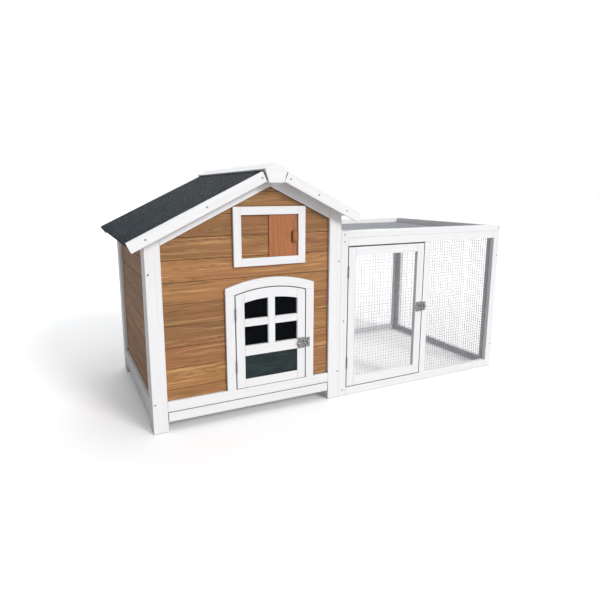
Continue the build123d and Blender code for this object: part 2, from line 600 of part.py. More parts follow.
# ---------------------------------------------------------------- screws
def screw(x, z, face_y, outward, length):
    """Countersunk wood screw driven along Y, its head just proud of the board."""
    head_y = face_y + outward * (SCREW_PROUD - SCREW_HEAD_T / 2)
    shank_y = head_y - outward * length / 2
    head = rod((x, head_y, z), SCREW_HEAD_R, SCREW_HEAD_T, "Y")
    return head + rod((x, shank_y, z), SCREW_SHANK_R, length, "Y")


def screws():
    """The screws that show on the front, and the same ones on the back."""
    into_side = FRAME_T / 2 - 1
    right_post = HOUSE_WIDTH - into_side
    run_corner = TOTAL_LENGTH - into_side
    run_post = (HOUSE_WIDTH + RUN_DOOR_X[0]) / 2
    roof_z = RUN_PANEL_HEIGHT + ROOF_FRAME_T / 2
    corner_points = [(into_side, 529), (into_side, 102), (right_post, 529), (right_post, 106)]
    corner_points += [(run_corner, 506), (run_corner, 104)]
    rail_points = [(run_post, 25), (run_post, 300), (run_post, 600)]
    rail_points += [(run_post, roof_z), (run_corner, roof_z)]
    pieces = []
    for points, length in ((corner_points, CORNER_SCREW), (rail_points, RAIL_SCREW)):
        for x, z in points:
            pieces.append(screw(x, z, 0, -1, length))
            pieces.append(screw(x, z, DEPTH, 1, length))
    barge_face = ROOF_OVERHANG + BARGE_T
    barge_spots = [(-1, 470), (-1, 260), (-1, 55), (1, 62), (1, 180), (1, 305)]
    for side, s in barge_spots:
        x, z = roof_point(side, s, ROOF_TOP_N - BARGE_WIDTH / 2)
        pieces.append(screw(x, z, -barge_face, -1, BARGE_SCREW))
        pieces.append(screw(x, z, DEPTH + barge_face, 1, BARGE_SCREW))
    save("frame_screws", *pieces)


os.makedirs("parts", exist_ok=True)
gable_frame("front", (0, FRAME_T))
gable_frame("back", (BACK_IN, DEPTH))
gable_planks()
side_walls()
roof()
door_trim()
window()
hinges()
bolts()
house_door()
run_front()
run_walls()
run_roof()
run_door()
tray()
screws()
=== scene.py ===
import json
import math
from random import Random

import bmesh
import bpy
from mathutils import Matrix, Vector
from mathutils import noise as wobble


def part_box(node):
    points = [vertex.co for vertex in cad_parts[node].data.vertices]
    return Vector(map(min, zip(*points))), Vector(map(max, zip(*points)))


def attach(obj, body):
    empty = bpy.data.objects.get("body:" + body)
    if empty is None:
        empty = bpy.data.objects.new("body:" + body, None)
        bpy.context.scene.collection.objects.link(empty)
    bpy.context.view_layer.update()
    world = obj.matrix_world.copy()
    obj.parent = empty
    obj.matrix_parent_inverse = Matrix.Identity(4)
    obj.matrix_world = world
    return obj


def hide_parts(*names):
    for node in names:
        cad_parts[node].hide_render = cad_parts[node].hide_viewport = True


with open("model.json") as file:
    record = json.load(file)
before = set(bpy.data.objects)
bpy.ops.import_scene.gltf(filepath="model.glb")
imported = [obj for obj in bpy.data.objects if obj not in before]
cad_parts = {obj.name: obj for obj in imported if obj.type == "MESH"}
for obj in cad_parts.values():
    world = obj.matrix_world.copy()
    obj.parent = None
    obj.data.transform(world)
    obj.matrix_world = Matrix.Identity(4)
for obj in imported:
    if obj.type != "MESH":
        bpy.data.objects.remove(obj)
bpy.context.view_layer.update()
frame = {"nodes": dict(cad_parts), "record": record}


# ---------- painted frame boards
# Posts, rails, rake and barge boards of the house and the run: planed pine, about 19 mm thick,
# butt-jointed and screwed, with two coats of white paint that lets the grain show faintly.
# Each board's corners are eased, and its grain runs along its own length.
BOARD_EASE = 0.0011
WHITE = (0.83, 0.825, 0.83)
PAINT_COOL = (0.79, 0.80, 0.83)
PAINT_WARM = (0.83, 0.81, 0.80)
PAINT_SHADE = (0.64, 0.63, 0.645)
# Dark for joints, gaps and inner corners: painted shade, with some dust.
JOINT_DUST_AND_SHADE = (0.055, 0.050, 0.048)
KNOT_BLEED = (0.80, 0.76, 0.66)
BARE_PINE = (0.62, 0.47, 0.30)
FLAT_ANGLE = 0.6
SHARP_ANGLE = 25
THIN_BOARD = 0.03
FRAME_SEED = 100

body_of = {}
for body_name, members in frame["record"]["behaviour"]["bodies"].items():
    for member in members:
        body_of[member] = body_name


def add(tree, kind, settings=(), **inputs):
    """Add a shader or geometry node; a value that is a socket is linked, any other is set."""
    node = tree.nodes.new(kind)
    for key, value in dict(settings).items():
        setattr(node, key, value)
    for key, value in inputs.items():
        if key[0] == "i" and key[1:].isdigit():
            socket = node.inputs[int(key[1:])]
        else:
            socket = node.inputs[key.replace("_", " ")]
        if isinstance(value, bpy.types.NodeSocket):
            tree.links.new(value, socket)
        else:
            socket.default_value = value
    return node


def make(tree, kind, settings=(), **inputs):
    """Add a node as add does; returns its first output."""
    return add(tree, kind, settings, **inputs).outputs[0]


def calc(tree, operation, *values, clamp=False):
    """One Math node; returns its output."""
    settings = {"operation": operation, "use_clamp": clamp}
    inputs = {f"i{k}": value for k, value in enumerate(values)}
    return make(tree, "ShaderNodeMath", settings, **inputs)


def times(tree, first, second, clamp=False):
    """Product of two values."""
    return calc(tree, "MULTIPLY", first, second, clamp=clamp)


def times_plus(tree, value, factor, extra):
    """A value scaled by a factor, with something added."""
    return calc(tree, "MULTIPLY_ADD", value, factor, extra)


def blend_colour(tree, factor, low, high):
    """Mix two colours or two links to colours."""
    ends = [(*end, 1.0) if isinstance(end, tuple) else end for end in (low, high)]
    node = add(tree, "ShaderNodeMix", {"data_type": "RGBA"}, i0=factor, i6=ends[0], i7=ends[1])
    return node.outputs[2]


def layer(tree, colour, mask, share, tint):
    """Lay a tint over a colour, as strongly as its mask and its share say."""
    return blend_colour(tree, times(tree, mask, share), colour, tint)


def step(tree, value, low, high):
    """Smooth step of a value from low to high."""
    settings = {"interpolation_type": "SMOOTHSTEP"}
    return make(tree, "ShaderNodeMapRange", settings, Value=value, From_Min=low, From_Max=high)


def start_tree(name, kind, inputs, outputs):
    """Start a node tree; (label, kind, default) rows go in and (label, kind) rows come out."""
    tree = bpy.data.node_groups.new(name, kind)
    for label, socket, default in inputs:
        made = tree.interface.new_socket(label, in_out="INPUT", socket_type="NodeSocket" + socket)
        if default is not None:
            made.default_value = default
    for label, socket in outputs:
        tree.interface.new_socket(label, in_out="OUTPUT", socket_type="NodeSocket" + socket)
    start = tree.nodes.new("NodeGroupInput")
    end = tree.nodes.new("NodeGroupOutput")
    return tree, start.outputs, end.inputs


def group(name, amounts, masks):
    """Start a shader node group: a Vector and named amounts go in, named masks come out."""
    rows = [(label, "Float", default) for label, default in amounts.items()]
    return start_tree(name, "ShaderNodeTree", [("Vector", "Vector", None)] + rows,
                      [(label, "Float") for label in masks])


def use(tree, shared, **inputs):
    """Place a shader node group in a material; returns its outputs."""
    return add(tree, "ShaderNodeGroup", {"node_tree": shared}, **inputs).outputs


def place_of(tree):
    """Position in metres on the piece."""
    return add(tree, "ShaderNodeTexCoord").outputs["Object"]


def stored(tree, name, output="Vector"):
    """What write_grain has stored on the piece under a name."""
    return add(tree, "ShaderNodeAttribute", {"attribute_name": name}).outputs[output]


def scaled(tree, vector, factors):
    """A vector multiplied axis by axis."""
    return make(tree, "ShaderNodeVectorMath", {"operation": "MULTIPLY"}, i0=vector, i1=factors)


def noise(tree, vector, scale, detail=4.0, rough=0.55):
    """Fractal noise between 0 and 1."""
    return make(tree, "ShaderNodeTexNoise", Vector=vector, Scale=scale, Detail=detail, Roughness=rough)


def material(name, **values):
    """New material, values set on its shader; returns it, its tree and its Principled BSDF."""
    made = bpy.data.materials.new(name)
    made.use_nodes = True
    shader = made.node_tree.nodes["Principled BSDF"]
    for key, value in values.items():
        shader.inputs[key.replace("_", " ")].default_value = value
    return made, made.node_tree, shader


def coat(tree, shader, colour, rough):
    """Lead a colour and a roughness to the shader."""
    tree.links.new(colour, shader.inputs["Base Color"])
    tree.links.new(rough, shader.inputs["Roughness"])


def bump(tree, shader, height, distance, strength):
    """Lead a height, in metres times distance, to the shader as relief."""
    node = add(tree, "ShaderNodeBump", Height=height, Distance=distance, Strength=strength)
    tree.links.new(node.outputs[0], shader.inputs["Normal"])


def timber_group():
    """Softwood figure: growth bands that part round small knots, streaks and fine fibres."""
    tree, given, made = group("timber_figure", {"Band Count": 24.0, "Knot Share": 0.15},
                              ("Bands", "Fibres", "Knots", "Streaks", "Highlight Flecks"))
    cells = scaled(tree, given["Vector"], (6.0, 14.0, 0.0))
    spots = add(tree, "ShaderNodeTexVoronoi", {"voronoi_dimensions": "2D"}, Vector=cells, Scale=1.0)
    spots.inputs["Randomness"].default_value = 0.8
    away = add(tree, "ShaderNodeVectorMath", {"operation": "SUBTRACT"},
               i0=cells, i1=spots.outputs["Position"])
    reach = add(tree, "ShaderNodeVectorMath", {"operation": "LENGTH"},
                i0=away.outputs[0]).outputs["Value"]
    pick = make(tree, "ShaderNodeSeparateColor", Color=spots.outputs["Color"])
    present = calc(tree, "LESS_THAN", pick, given["Knot Share"])
    pull = times(tree, step(tree, reach, 0.60, 0.02), present)
    across = add(tree, "ShaderNodeSeparateXYZ", Vector=away.outputs[0]).outputs[1]
    shift = times(tree, times(tree, across, pull), -0.05)
    sway = noise(tree, scaled(tree, given["Vector"], (2.6, 9.0, 4.0)), 1.0, 3.0, 0.6)
    swayed = times_plus(tree, calc(tree, "SUBTRACT", sway, 0.5), 0.026, shift)
    parted = make(tree, "ShaderNodeCombineXYZ", Y=swayed)
    flow = make(tree, "ShaderNodeVectorMath", {"operation": "ADD"}, i0=given["Vector"], i1=parted)
    field = noise(tree, scaled(tree, flow, (1.3, 17.0, 5.0)), 1.0, 1.0)
    rings = calc(tree, "FRACT", times(tree, field, given["Band Count"]))
    fibres = noise(tree, scaled(tree, flow, (18.0, 640.0, 300.0)), 1.0, 5.0, 0.62)
    streaks = noise(tree, scaled(tree, flow, (2.6, 120.0, 60.0)), 1.0, 4.0, 0.60)
    # Pale flecks along the grain; in the stains they paint highlights of raised grain catching the
    # light.
    highlight_flecks = noise(tree, scaled(tree, flow, (7.0, 210.0, 90.0)), 1.0, 2.0, 0.5)
    knots = times(tree, step(tree, reach, 0.10, 0.03), present)
    bands = calc(tree, "POWER", rings, 2.2)
    for label, value in (("Bands", bands), ("Fibres", fibres), ("Knots", knots),
                         ("Streaks", streaks), ("Highlight Flecks", highlight_flecks)):
        tree.links.new(value, made[label])
    return tree


def wear_group():
    """Mask of the sharp corners of a piece, broken up the way handling wears paint."""
    tree, given, made = group("edge_wear", {"Width": 0.0015, "Amount": 0.5}, ("Mask",))
    soft = make(tree, "ShaderNodeBevel", {"samples": 4}, Radius=given["Width"])
    plain = add(tree, "ShaderNodeNewGeometry").outputs["Normal"]
    match = add(tree, "ShaderNodeVectorMath", {"operation": "DOT_PRODUCT"},
                i0=soft, i1=plain).outputs["Value"]
    edge = step(tree, match, 0.97, 0.80)
    patches = noise(tree, given["Vector"], 38.0, 5.0, 0.7)
    limit = calc(tree, "SUBTRACT", 1.0, given["Amount"])
    broken = times(tree, calc(tree, "SUBTRACT", patches, limit, clamp=True), 8.0, clamp=True)
    tree.links.new(times(tree, edge, broken), made["Mask"])
    return tree


def grime_and_shade_group():
    """Mask of joints and inner corners from ambient occlusion: painted shade where light is closed
    off, with dust and thin paint there too.
    """
    tree, given, made = group("joint_grime_and_shade", {"Reach": 0.006, "Spread": 0.5}, ("Mask",))
    near = add(tree, "ShaderNodeAmbientOcclusion", {"samples": 6},
               Distance=given["Reach"]).outputs["AO"]
    # Painted shade: the tighter the occlusion, the darker joints, gaps and inner corners are painted.
    closed = step(tree, near, 0.70, 0.22)
    dusty = times(tree, step(tree, near, 0.95, 0.45), given["Spread"])
    patches = step(tree, noise(tree, given["Vector"], 22.0, 5.0, 0.7), 0.40, 0.72)
    loose = times(tree, dusty, patches)
    tree.links.new(calc(tree, "MAXIMUM", closed, loose), made["Mask"])
    return tree


timber = timber_group()
wear = wear_group()
grime_and_shade = grime_and_shade_group()


def white_paint():
    """Two thin coats: faint grain, a warmer stain over each knot, bare wood at worn corners."""
    made, tree, shader = material("white_paint")
    grain = stored(tree, "grain")
    tone = stored(tree, "tone", "Fac")
    figure = use(tree, timber, Vector=grain, Band_Count=18.0, Knot_Share=0.10)
    thin = step(tree, figure["Streaks"], 0.46, 0.72)
    colour = blend_colour(tree, times(tree, thin, 0.42), WHITE, PAINT_SHADE)
    rings = times(tree, step(tree, figure["Bands"], 0.35, 1.0), 0.16)
    colour = blend_colour(tree, rings, colour, PAINT_SHADE)
    cloud = step(tree, noise(tree, scaled(tree, grain, (2.0, 9.0, 9.0)), 1.0, 3.0), 0.35, 0.70)
    cool = blend_colour(tree, tone, PAINT_COOL, PAINT_WARM)
    colour = blend_colour(tree, times_plus(tree, cloud, 0.35, 0.20), colour, cool)
    colour = layer(tree, colour, figure["Knots"], 0.40, KNOT_BLEED)
    worn = use(tree, wear, Vector=grain, Width=0.0012, Amount=0.40)["Mask"]
    colour = layer(tree, colour, worn, 0.45, BARE_PINE)
    # Painted shade and some dust: joints, gaps and inner corners darkened by the occlusion mask.
    dirt_and_shade = use(tree, grime_and_shade, Vector=grain, Reach=0.009, Spread=0.18)["Mask"]
    colour = layer(tree, colour, dirt_and_shade, 0.88, JOINT_DUST_AND_SHADE)
    coat(tree, shader, colour, times_plus(tree, figure["Fibres"], 0.18, 0.40))
    height = times_plus(tree, figure["Streaks"], 0.7, figure["Fibres"])
    bump(tree, shader, height, 0.0005, 0.6)
    return made


def islands(mesh):
    """Lists of the vertices of each separate solid in a bmesh."""
    left = set(mesh.verts)
    found = []
    while left:
        seed = min(left, key=lambda vert: vert.index)
        stack = [seed]
        left.discard(seed)
        solid = []
        while stack:
            vert = stack.pop()
            solid.append(vert)
            for edge in vert.link_edges:
                other = edge.other_vert(vert)
                if other in left:
                    left.discard(other)
                    stack.append(other)
        found.append(solid)
    return found


def grain_of(solid):
    """Direction of the longest edge of a solid: the way its grain runs."""
    edges = {edge for vert in solid for edge in vert.link_edges}
    longest = max(edges, key=lambda edge: edge.calc_length())
    direction = (longest.verts[1].co - longest.verts[0].co).normalized()
    return direction if direction.dot(Vector((1, 1.1, 1.2))) > 0 else -direction


def write_grain(mesh, seed, along=None):
    """Store on each solid its own grain coordinates, in metres, and a tone of its own."""
    dice = Random(seed)
    grain = mesh.verts.layers.float_vector.new("grain")
    tone = mesh.verts.layers.float.new("tone")
    mesh.verts.index_update()
    mesh.verts.ensure_lookup_table()
    for solid in islands(mesh):
        length = Vector(along) if along else grain_of(solid)
        through = Vector((0, 1, 0)) if abs(length.y) < 0.5 else Vector((1, 0, 0))
        spans = [max(v.co[k] for v in solid) - min(v.co[k] for v in solid) for k in range(3)]
        if spans[2] < THIN_BOARD and abs(length.z) < 0.5:
            through = Vector((0, 0, 1))
        elif spans[0] < THIN_BOARD and abs(length.x) < 0.5:
            through = Vector((1, 0, 0))
        across = length.cross(through).normalized()
        offset = Vector((dice.uniform(0, 40), dice.uniform(0, 40), dice.uniform(0, 40)))
        shade = dice.random()
        for vert in solid:
            spot = Vector((vert.co.dot(length), vert.co.dot(across), vert.co.dot(through)))
            vert[grain] = spot + offset
            vert[tone] = shade


def merged_copy(node):
    """A copy of a CAD node's mesh: each solid closed on its own, its flat faces made whole.

    The triangles come solid by solid, so a new solid starts where the last one has closed, and
    boards that touch each other stay apart.
    """
    source = frame["nodes"][node].data
    mesh = bmesh.new()
    corners = {}
    open_edges = set()
    for face in source.polygons:
        keys = []
        for index in face.vertices:
            place = source.vertices[index].co
            key = tuple(round(value, 6) for value in place)
            if key not in corners:
                corners[key] = mesh.verts.new(place)
            keys.append(key)
        if len(set(keys)) < 3:
            continue
        mesh.faces.new([corners[key] for key in keys])
        for first, second in zip(keys, keys[1:] + keys[:1]):
            if (second, first) in open_edges:
                open_edges.discard((second, first))
            else:
                open_edges.add((first, second))
        if not open_edges:
            corners = {}
    mesh.normal_update()
    bmesh.ops.dissolve_limit(mesh, angle_limit=math.radians(FLAT_ANGLE),
                             verts=mesh.verts, edges=mesh.edges)
    return mesh


def ease(mesh, width, segments=2):
    """Round off the sharp corners of every solid in a bmesh."""
    sharp = [edge for edge in mesh.edges
             if edge.is_manifold and edge.calc_face_angle() > math.radians(SHARP_ANGLE)]
    bmesh.ops.bevel(mesh, geom=sharp, offset=width, segments=segments, profile=0.5,
                    affect="EDGES", clamp_overlap=True)


def show(name, data):
    """Put an object with this data in the scene."""
    piece = bpy.data.objects.new(name, data)
    bpy.context.scene.collection.objects.link(piece)
    return piece


def settle(data, name, node, smooth=None, instead=()):
    """Link a finished mesh and let it ride, as a CAD node does, in place of the nodes given."""
    if smooth is not None:
        data.shade_smooth()
        data.set_sharp_from_angle(angle=math.radians(smooth))
    piece = show(name, data)
    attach(piece, body_of[node])
    if instead:
        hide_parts(*instead)
    return piece


def publish(mesh, name, finish, node, smooth=None, instead=()):
    """Turn a bmesh into a finished piece that rides as a CAD node does."""
    data = bpy.data.meshes.new(name)
    mesh.to_mesh(data)
    mesh.free()
    data.materials.append(finish)
    return settle(data, name, node, smooth, instead)


def dress_boards(node, finish, seed, width=BOARD_EASE, along=None):
    """Eased, grained boards in place of a CAD node of boards."""
    mesh = merged_copy(node)
    ease(mesh, width)
    write_grain(mesh, seed, along)
    publish(mesh, node + "_boards", finish, node, None, [node])


paint = white_paint()
PAINTED = ["front_left_post", "front_right_post", "front_rake_boards", "front_bottom_rail",
           "back_posts", "back_rake_boards", "back_bottom_rail", "left_side_stiles", "left_side_rails",
           "right_side_stiles", "right_side_rails", "front_barge_boards", "back_barge_boards",
           "run_front_stiles", "run_front_rails", "run_side_frame", "run_back_frame", "run_roof_frame"]
for number, name in enumerate(PAINTED):
    dress_boards(name, paint, FRAME_SEED + number)


# ---------- keystones and ridge boards
# Painted blocks that hide the joint of the barge boards at each gable, and two thin boards that
# cap the ridge between them. The blocks are cut across thicker stock, so their corners are rounder.
ALONG_X = (1, 0, 0)
ALONG_Y = (0, 1, 0)
KEYSTONE_EASE = 0.002
RIDGE_EASE = 0.0009
KEYSTONE_SEED = 140

dress_boards("gable_keystones", paint, KEYSTONE_SEED, KEYSTONE_EASE, ALONG_X)
dress_boards("ridge_cap_boards", paint, KEYSTONE_SEED + 1, RIDGE_EASE, ALONG_Y)


# ---------- wall planks
# Fir boards of 71 mm face, stained honey brown and nailed behind the frames. Each comes from its
# own tree, so its tone, bands and few small knots are its own. A tongue on every upper edge fills
# the open joint under the next board.
PLANK_EASE = 0.0013
PLANK_SEED = 207
TONGUE_REACH = 0.0022
TONGUE_FRONT = 0.42
TONGUE_BACK = 0.58
WIDEST_JOINT = 0.002
LEVEL_FACE = 0.99
# Dark for plank joints and inner corners: painted shade, with some dirt.
JOINT_DIRT_AND_SHADE = (0.03, 0.018, 0.010)
HONEY = {"dark": (0.155, 0.062, 0.020), "mid": (0.312, 0.163, 0.051), "light": (0.63, 0.405, 0.155),
         "red": (0.325, 0.125, 0.051), "knot": (0.115, 0.045, 0.018)}


def stained(name, tones, knot_share, contrast=1.0):
    """Stained softwood; contrast scales how strongly bands and streaks show."""
    made, tree, shader = material(name, Specular_IOR_Level=0.4)
    grain = stored(tree, "grain")
    tone = stored(tree, "tone", "Fac")
    figure = use(tree, timber, Vector=grain, Band_Count=30.0, Knot_Share=knot_share)
    cloud = step(tree, noise(tree, scaled(tree, grain, (3.0, 10.0, 9.0)), 1.0, 4.0, 0.6), 0.34, 0.68)
    second = calc(tree, "FRACT", times(tree, tone, 7.13))
    ruddy = times(tree, times_plus(tree, second, 0.8, cloud), 0.50)
    colour = blend_colour(tree, ruddy, tones["mid"], tones["red"])
    # Pale streaks are grain; the pale flecks are painted highlight of raised grain catching the light.
    for mask, low, high, share, tint in (
            ("Bands", 0.15, 1.0, 0.50, "dark"), ("Streaks", 0.50, 0.30, 0.62, "dark"),
            ("Streaks", 0.54, 0.72, 0.55, "light"), ("Highlight Flecks", 0.60, 0.74, 0.55, "light"),
            ("Fibres", 0.50, 0.78, 0.35, "dark")):
        shown = step(tree, figure[mask], low, high)
        colour = layer(tree, colour, shown, share * contrast, tones[tint])
    lift = times_plus(tree, tone, 0.34, times_plus(tree, cloud, 0.16, 0.84))
    bright = make(tree, "ShaderNodeHueSaturation", Color=colour, Value=lift)
    colour = blend_colour(tree, times(tree, figure["Knots"], 0.8), bright, tones["knot"])
    # Painted shade and some dirt: joints and inner corners darkened by the occlusion mask.
    dirt_and_shade = use(tree, grime_and_shade, Vector=grain, Reach=0.006, Spread=0.35)["Mask"]
    colour = layer(tree, colour, dirt_and_shade, 0.85, JOINT_DIRT_AND_SHADE)
    coat(tree, shader, colour, times_plus(tree, figure["Streaks"], 0.25, 0.44))
    height = times_plus(tree, figure["Bands"], -0.5, figure["Fibres"])
    bump(tree, shader, height, 0.0004, 0.8)
    return made


def boxed(mesh, low, high):
    """Add a closed block to a bmesh."""
    verts = bmesh.ops.create_cube(mesh, size=1.0)["verts"]
    for vert in verts:
        for k in range(3):
            vert.co[k] = low[k] if vert.co[k] < 0 else high[k]


def tongues(mesh, run):
    """Fill the joints between the level edges of a wall's planks, which run along axis number run."""
    thick = 1 - run
    edges = {1: [], -1: []}
    for face in mesh.faces:
        if abs(face.normal.z) > LEVEL_FACE:
            spots = [vert.co for vert in face.verts]
            low = [min(spot[k] for spot in spots) for k in range(3)]
            high = [max(spot[k] for spot in spots) for k in range(3)]
            edges[1 if face.normal.z > 0 else -1].append((low, high))
    for under_low, under_high in edges[1]:
        for over_low, over_high in edges[-1]:
            joint = over_low[2] - under_high[2]
            start = max(under_low[run], over_low[run])
            end = min(under_high[run], over_high[run])
            if not 0 < joint < WIDEST_JOINT or end < start:
                continue
            depth = under_high[thick] - under_low[thick]
            low = [0, 0, under_high[2] - TONGUE_REACH]
            high = [0, 0, over_low[2] + TONGUE_REACH]
            low[run], high[run] = start, end
            low[thick] = under_low[thick] + depth * TONGUE_FRONT
            high[thick] = under_low[thick] + depth * TONGUE_BACK
            boxed(mesh, low, high)


honey = stained("honey_stain", HONEY, 0.07)
WALLS = (("front_planks", 0), ("back_planks", 0), ("left_side_planks", 1), ("right_side_planks", 1))
for number, (name, run) in enumerate(WALLS):
    mesh = merged_copy(name)
    ease(mesh, PLANK_EASE)
    tongues(mesh, run)
    write_grain(mesh, PLANK_SEED + number, (ALONG_X, ALONG_Y)[run])
    publish(mesh, name + "_boards", honey, name, None, [name])


# ---------- roof decks and tray runners
# Sawn boards that stay bare: the decks under the felt, seen at the eaves and from below, and the
# rebated strips that carry the tray.
DECK_EASE = 0.0006
RUNNER_EASE = 0.0008
BARE_SEED = 260
BARE = {"dark": (0.34, 0.22, 0.12), "mid": (0.54, 0.40, 0.25), "light": (0.68, 0.53, 0.35),
        "red": (0.52, 0.36, 0.23), "knot": (0.20, 0.11, 0.05)}

bare = stained("bare_sawn", BARE, 0.12, 0.7)
dress_boards("roof_deck_left", bare, BARE_SEED, DECK_EASE, ALONG_Y)
dress_boards("roof_deck_right", bare, BARE_SEED + 1, DECK_EASE, ALONG_Y)
dress_boards("tray_runners", bare, BARE_SEED + 2, RUNNER_EASE, ALONG_Y)


# ---------- roofing felt
# Bitumen felt faced with blue-black mineral chips. One sheet lies on each deck and is turned down
# over the eave's edge, where its fold is round and a little uneven.
FELT_DARK = (0.004, 0.008, 0.011)
FELT_MID = (0.012, 0.020, 0.026)
FELT_CHIP = (0.17, 0.21, 0.24)
CHIPS_PER_METRE = 430.0
FELT_EASE = 0.0010
FELT_GRID = 0.022
FELT_WAVE = 0.0009
FELT_SMOOTH = 30


def felt_finish():
    """Two dark tones chip by chip, pale chips here and there, and broad faded patches."""
    made, tree, shader = material("mineral_felt", Specular_IOR_Level=0.12)
    place = place_of(tree)
    chips = add(tree, "ShaderNodeTexVoronoi", Vector=place, Scale=CHIPS_PER_METRE)
    shade = make(tree, "ShaderNodeSeparateColor", Color=chips.outputs["Color"])
    colour = blend_colour(tree, shade, FELT_DARK, FELT_MID)
    clumps = step(tree, noise(tree, place, 190.0, 3.0, 0.6), 0.42, 0.62)
    colour = layer(tree, colour, clumps, 0.5, FELT_MID)
    gate = times_plus(tree, clumps, -0.16, 0.90)
    spark = calc(tree, "GREATER_THAN", shade, gate)
    colour = layer(tree, colour, spark, 0.75, FELT_CHIP)
    patch = step(tree, noise(tree, place, 7.0, 5.0, 0.6), 0.35, 0.75)
    colour = layer(tree, colour, patch, 0.35, FELT_MID)
    coat(tree, shader, colour, times_plus(tree, shade, 0.25, 0.70))
    crown = calc(tree, "SUBTRACT", 1.0, chips.outputs["Distance"])
    height = times_plus(tree, clumps, 0.6, crown)
    bump(tree, shader, height, 0.0010, 0.8)
    return made


felt = felt_finish()
for node in ("felt_left", "felt_right"):
    mesh = merged_copy(node)
    ease(mesh, FELT_EASE)
    low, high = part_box(node)
    for axis in (0, 1):
        cuts = int((high[axis] - low[axis]) / FELT_GRID)
        for number in range(1, cuts):
            spot = Vector((0, 0, 0))
            spot[axis] = low[axis] + number * (high[axis] - low[axis]) / cuts
            normal = Vector((1 - axis, axis, 0))
            everything = mesh.verts[:] + mesh.edges[:] + mesh.faces[:]
            bmesh.ops.bisect_plane(mesh, geom=everything, plane_co=spot, plane_no=normal)
    for vert in mesh.verts:
        wave = wobble.noise(Vector((vert.co.x * 9, vert.co.y * 6, 3.0))) * 0.5 + 0.5
        vert.co.z -= FELT_WAVE * wave
    publish(mesh, node + "_sheet", felt, node, FELT_SMOOTH, [node])


# ---------- door trim and window frame
# White boards nailed on the planks: the arched head and jambs of the doorway, sawn from wide
# stock, and the four boards of the window with the runners that the shutter slides between.
DOOR_TRIM_EASE = 0.0009
WINDOW_EASE = 0.0004
SLIDER_RUNNER_EASE = 0.0006
TRIM_SEED = 300

dress_boards("door_arch_head", paint, TRIM_SEED, DOOR_TRIM_EASE, ALONG_X)
dress_boards("door_jambs", paint, TRIM_SEED + 1, DOOR_TRIM_EASE)
dress_boards("window_frame", paint, TRIM_SEED + 2, WINDOW_EASE)
dress_boards("slider_runners", paint, TRIM_SEED + 3, SLIDER_RUNNER_EASE)


# ---------- vent shutter
# A slip of thin plywood stained red brown, its grain upright, with a small block glued on as a
# handle. It slides sideways behind the window frame and closes the vent hole in the planks.
ALONG_Z = (0, 0, 1)
SHUTTER_EASE = 0.0006
HANDLE_EASE = 0.0016
SHUTTER_SEED = 321
RED_BROWN = {"dark": (0.20, 0.065, 0.022), "mid": (0.40, 0.155, 0.052), "light": (0.50, 0.24, 0.09),
             "red": (0.35, 0.105, 0.036), "knot": (0.12, 0.04, 0.015)}

ply = stained("shutter_stain", RED_BROWN, 0.02, 0.8)
dress_boards("slider_panel", ply, SHUTTER_SEED, SHUTTER_EASE, ALONG_Z)
dress_boards("slider_handle", ply, SHUTTER_SEED + 1, HANDLE_EASE, ALONG_Z)


# ---------- house door
# Painted stiles, arched top rail and rails joined edge to edge, with a cross of muntins over one
# opaque near-black acrylic pane, its colour painted shade of the dark house inside, and a dark
# green-grey board let in below the lock rail.
DOOR_EASE = 0.0010
PANEL_EASE = 0.0008
PANE_EASE = 0.0003
HOUSE_DOOR_SEED = 340
PANEL_SEED = 350
PANEL_GREEN = (0.006, 0.016, 0.018)
PANEL_WORN = (0.026, 0.044, 0.045)
# Near-black of the pane: smoked tint and painted shade of the house inside.
PANE_TINT_AND_SHADE = (0.0025, 0.0035, 0.0045)
PANE_DUST = (0.06, 0.06, 0.06)

dress_boards("house_door_stiles", paint, HOUSE_DOOR_SEED, DOOR_EASE, ALONG_Z)
dress_boards("house_door_top_rail", paint, HOUSE_DOOR_SEED + 1, DOOR_EASE, ALONG_X)
dress_boards("house_door_rails", paint, HOUSE_DOOR_SEED + 2, DOOR_EASE)
dress_boards("house_door_muntins", paint, HOUSE_DOOR_SEED + 3, DOOR_EASE)


def panel_finish():
    """Dark green-grey stain, worn lighter along the grain and in patches."""
    made, tree, shader = material("dark_panel_paint", Specular_IOR_Level=0.3)
    grain = stored(tree, "grain")
    figure = use(tree, timber, Vector=grain, Band_Count=8.0, Knot_Share=0.1)
    cloud = noise(tree, scaled(tree, grain, (14.0, 30.0, 20.0)), 1.0, 4.0, 0.65)
    patches = times(tree, step(tree, cloud, 0.35, 0.72), 0.5)
    worn = times_plus(tree, step(tree, figure["Streaks"], 0.42, 0.72), 0.5, patches)
    colour = blend_colour(tree, worn, PANEL_GREEN, PANEL_WORN)
    coat(tree, shader, colour, times_plus(tree, figure["Fibres"], 0.25, 0.46))
    bump(tree, shader, figure["Streaks"], 0.0005, 0.6)
    return made


dress_boards("house_door_panel", panel_finish(), PANEL_SEED, PANEL_EASE, ALONG_X)


def pane_finish():
    """Opaque near-black acrylic, its colour a smoked tint and painted shade of the dark house inside,
    with a thin film of dust in clouds.
    """
    made, tree, shader = material("smoked_acrylic_and_inner_shade", Specular_IOR_Level=0.03)
    place = place_of(tree)
    dust = step(tree, noise(tree, place, 60.0, 6.0, 0.65), 0.52, 0.85)
    colour = blend_colour(tree, times(tree, dust, 0.12), PANE_TINT_AND_SHADE, PANE_DUST)
    coat(tree, shader, colour, times_plus(tree, dust, 0.25, 0.10))
    return made


mesh = merged_copy("house_door_pane")
ease(mesh, PANE_EASE, 1)
publish(mesh, "house_door_pane_sheet", pane_finish(), "house_door_pane", None, ["house_door_pane"])


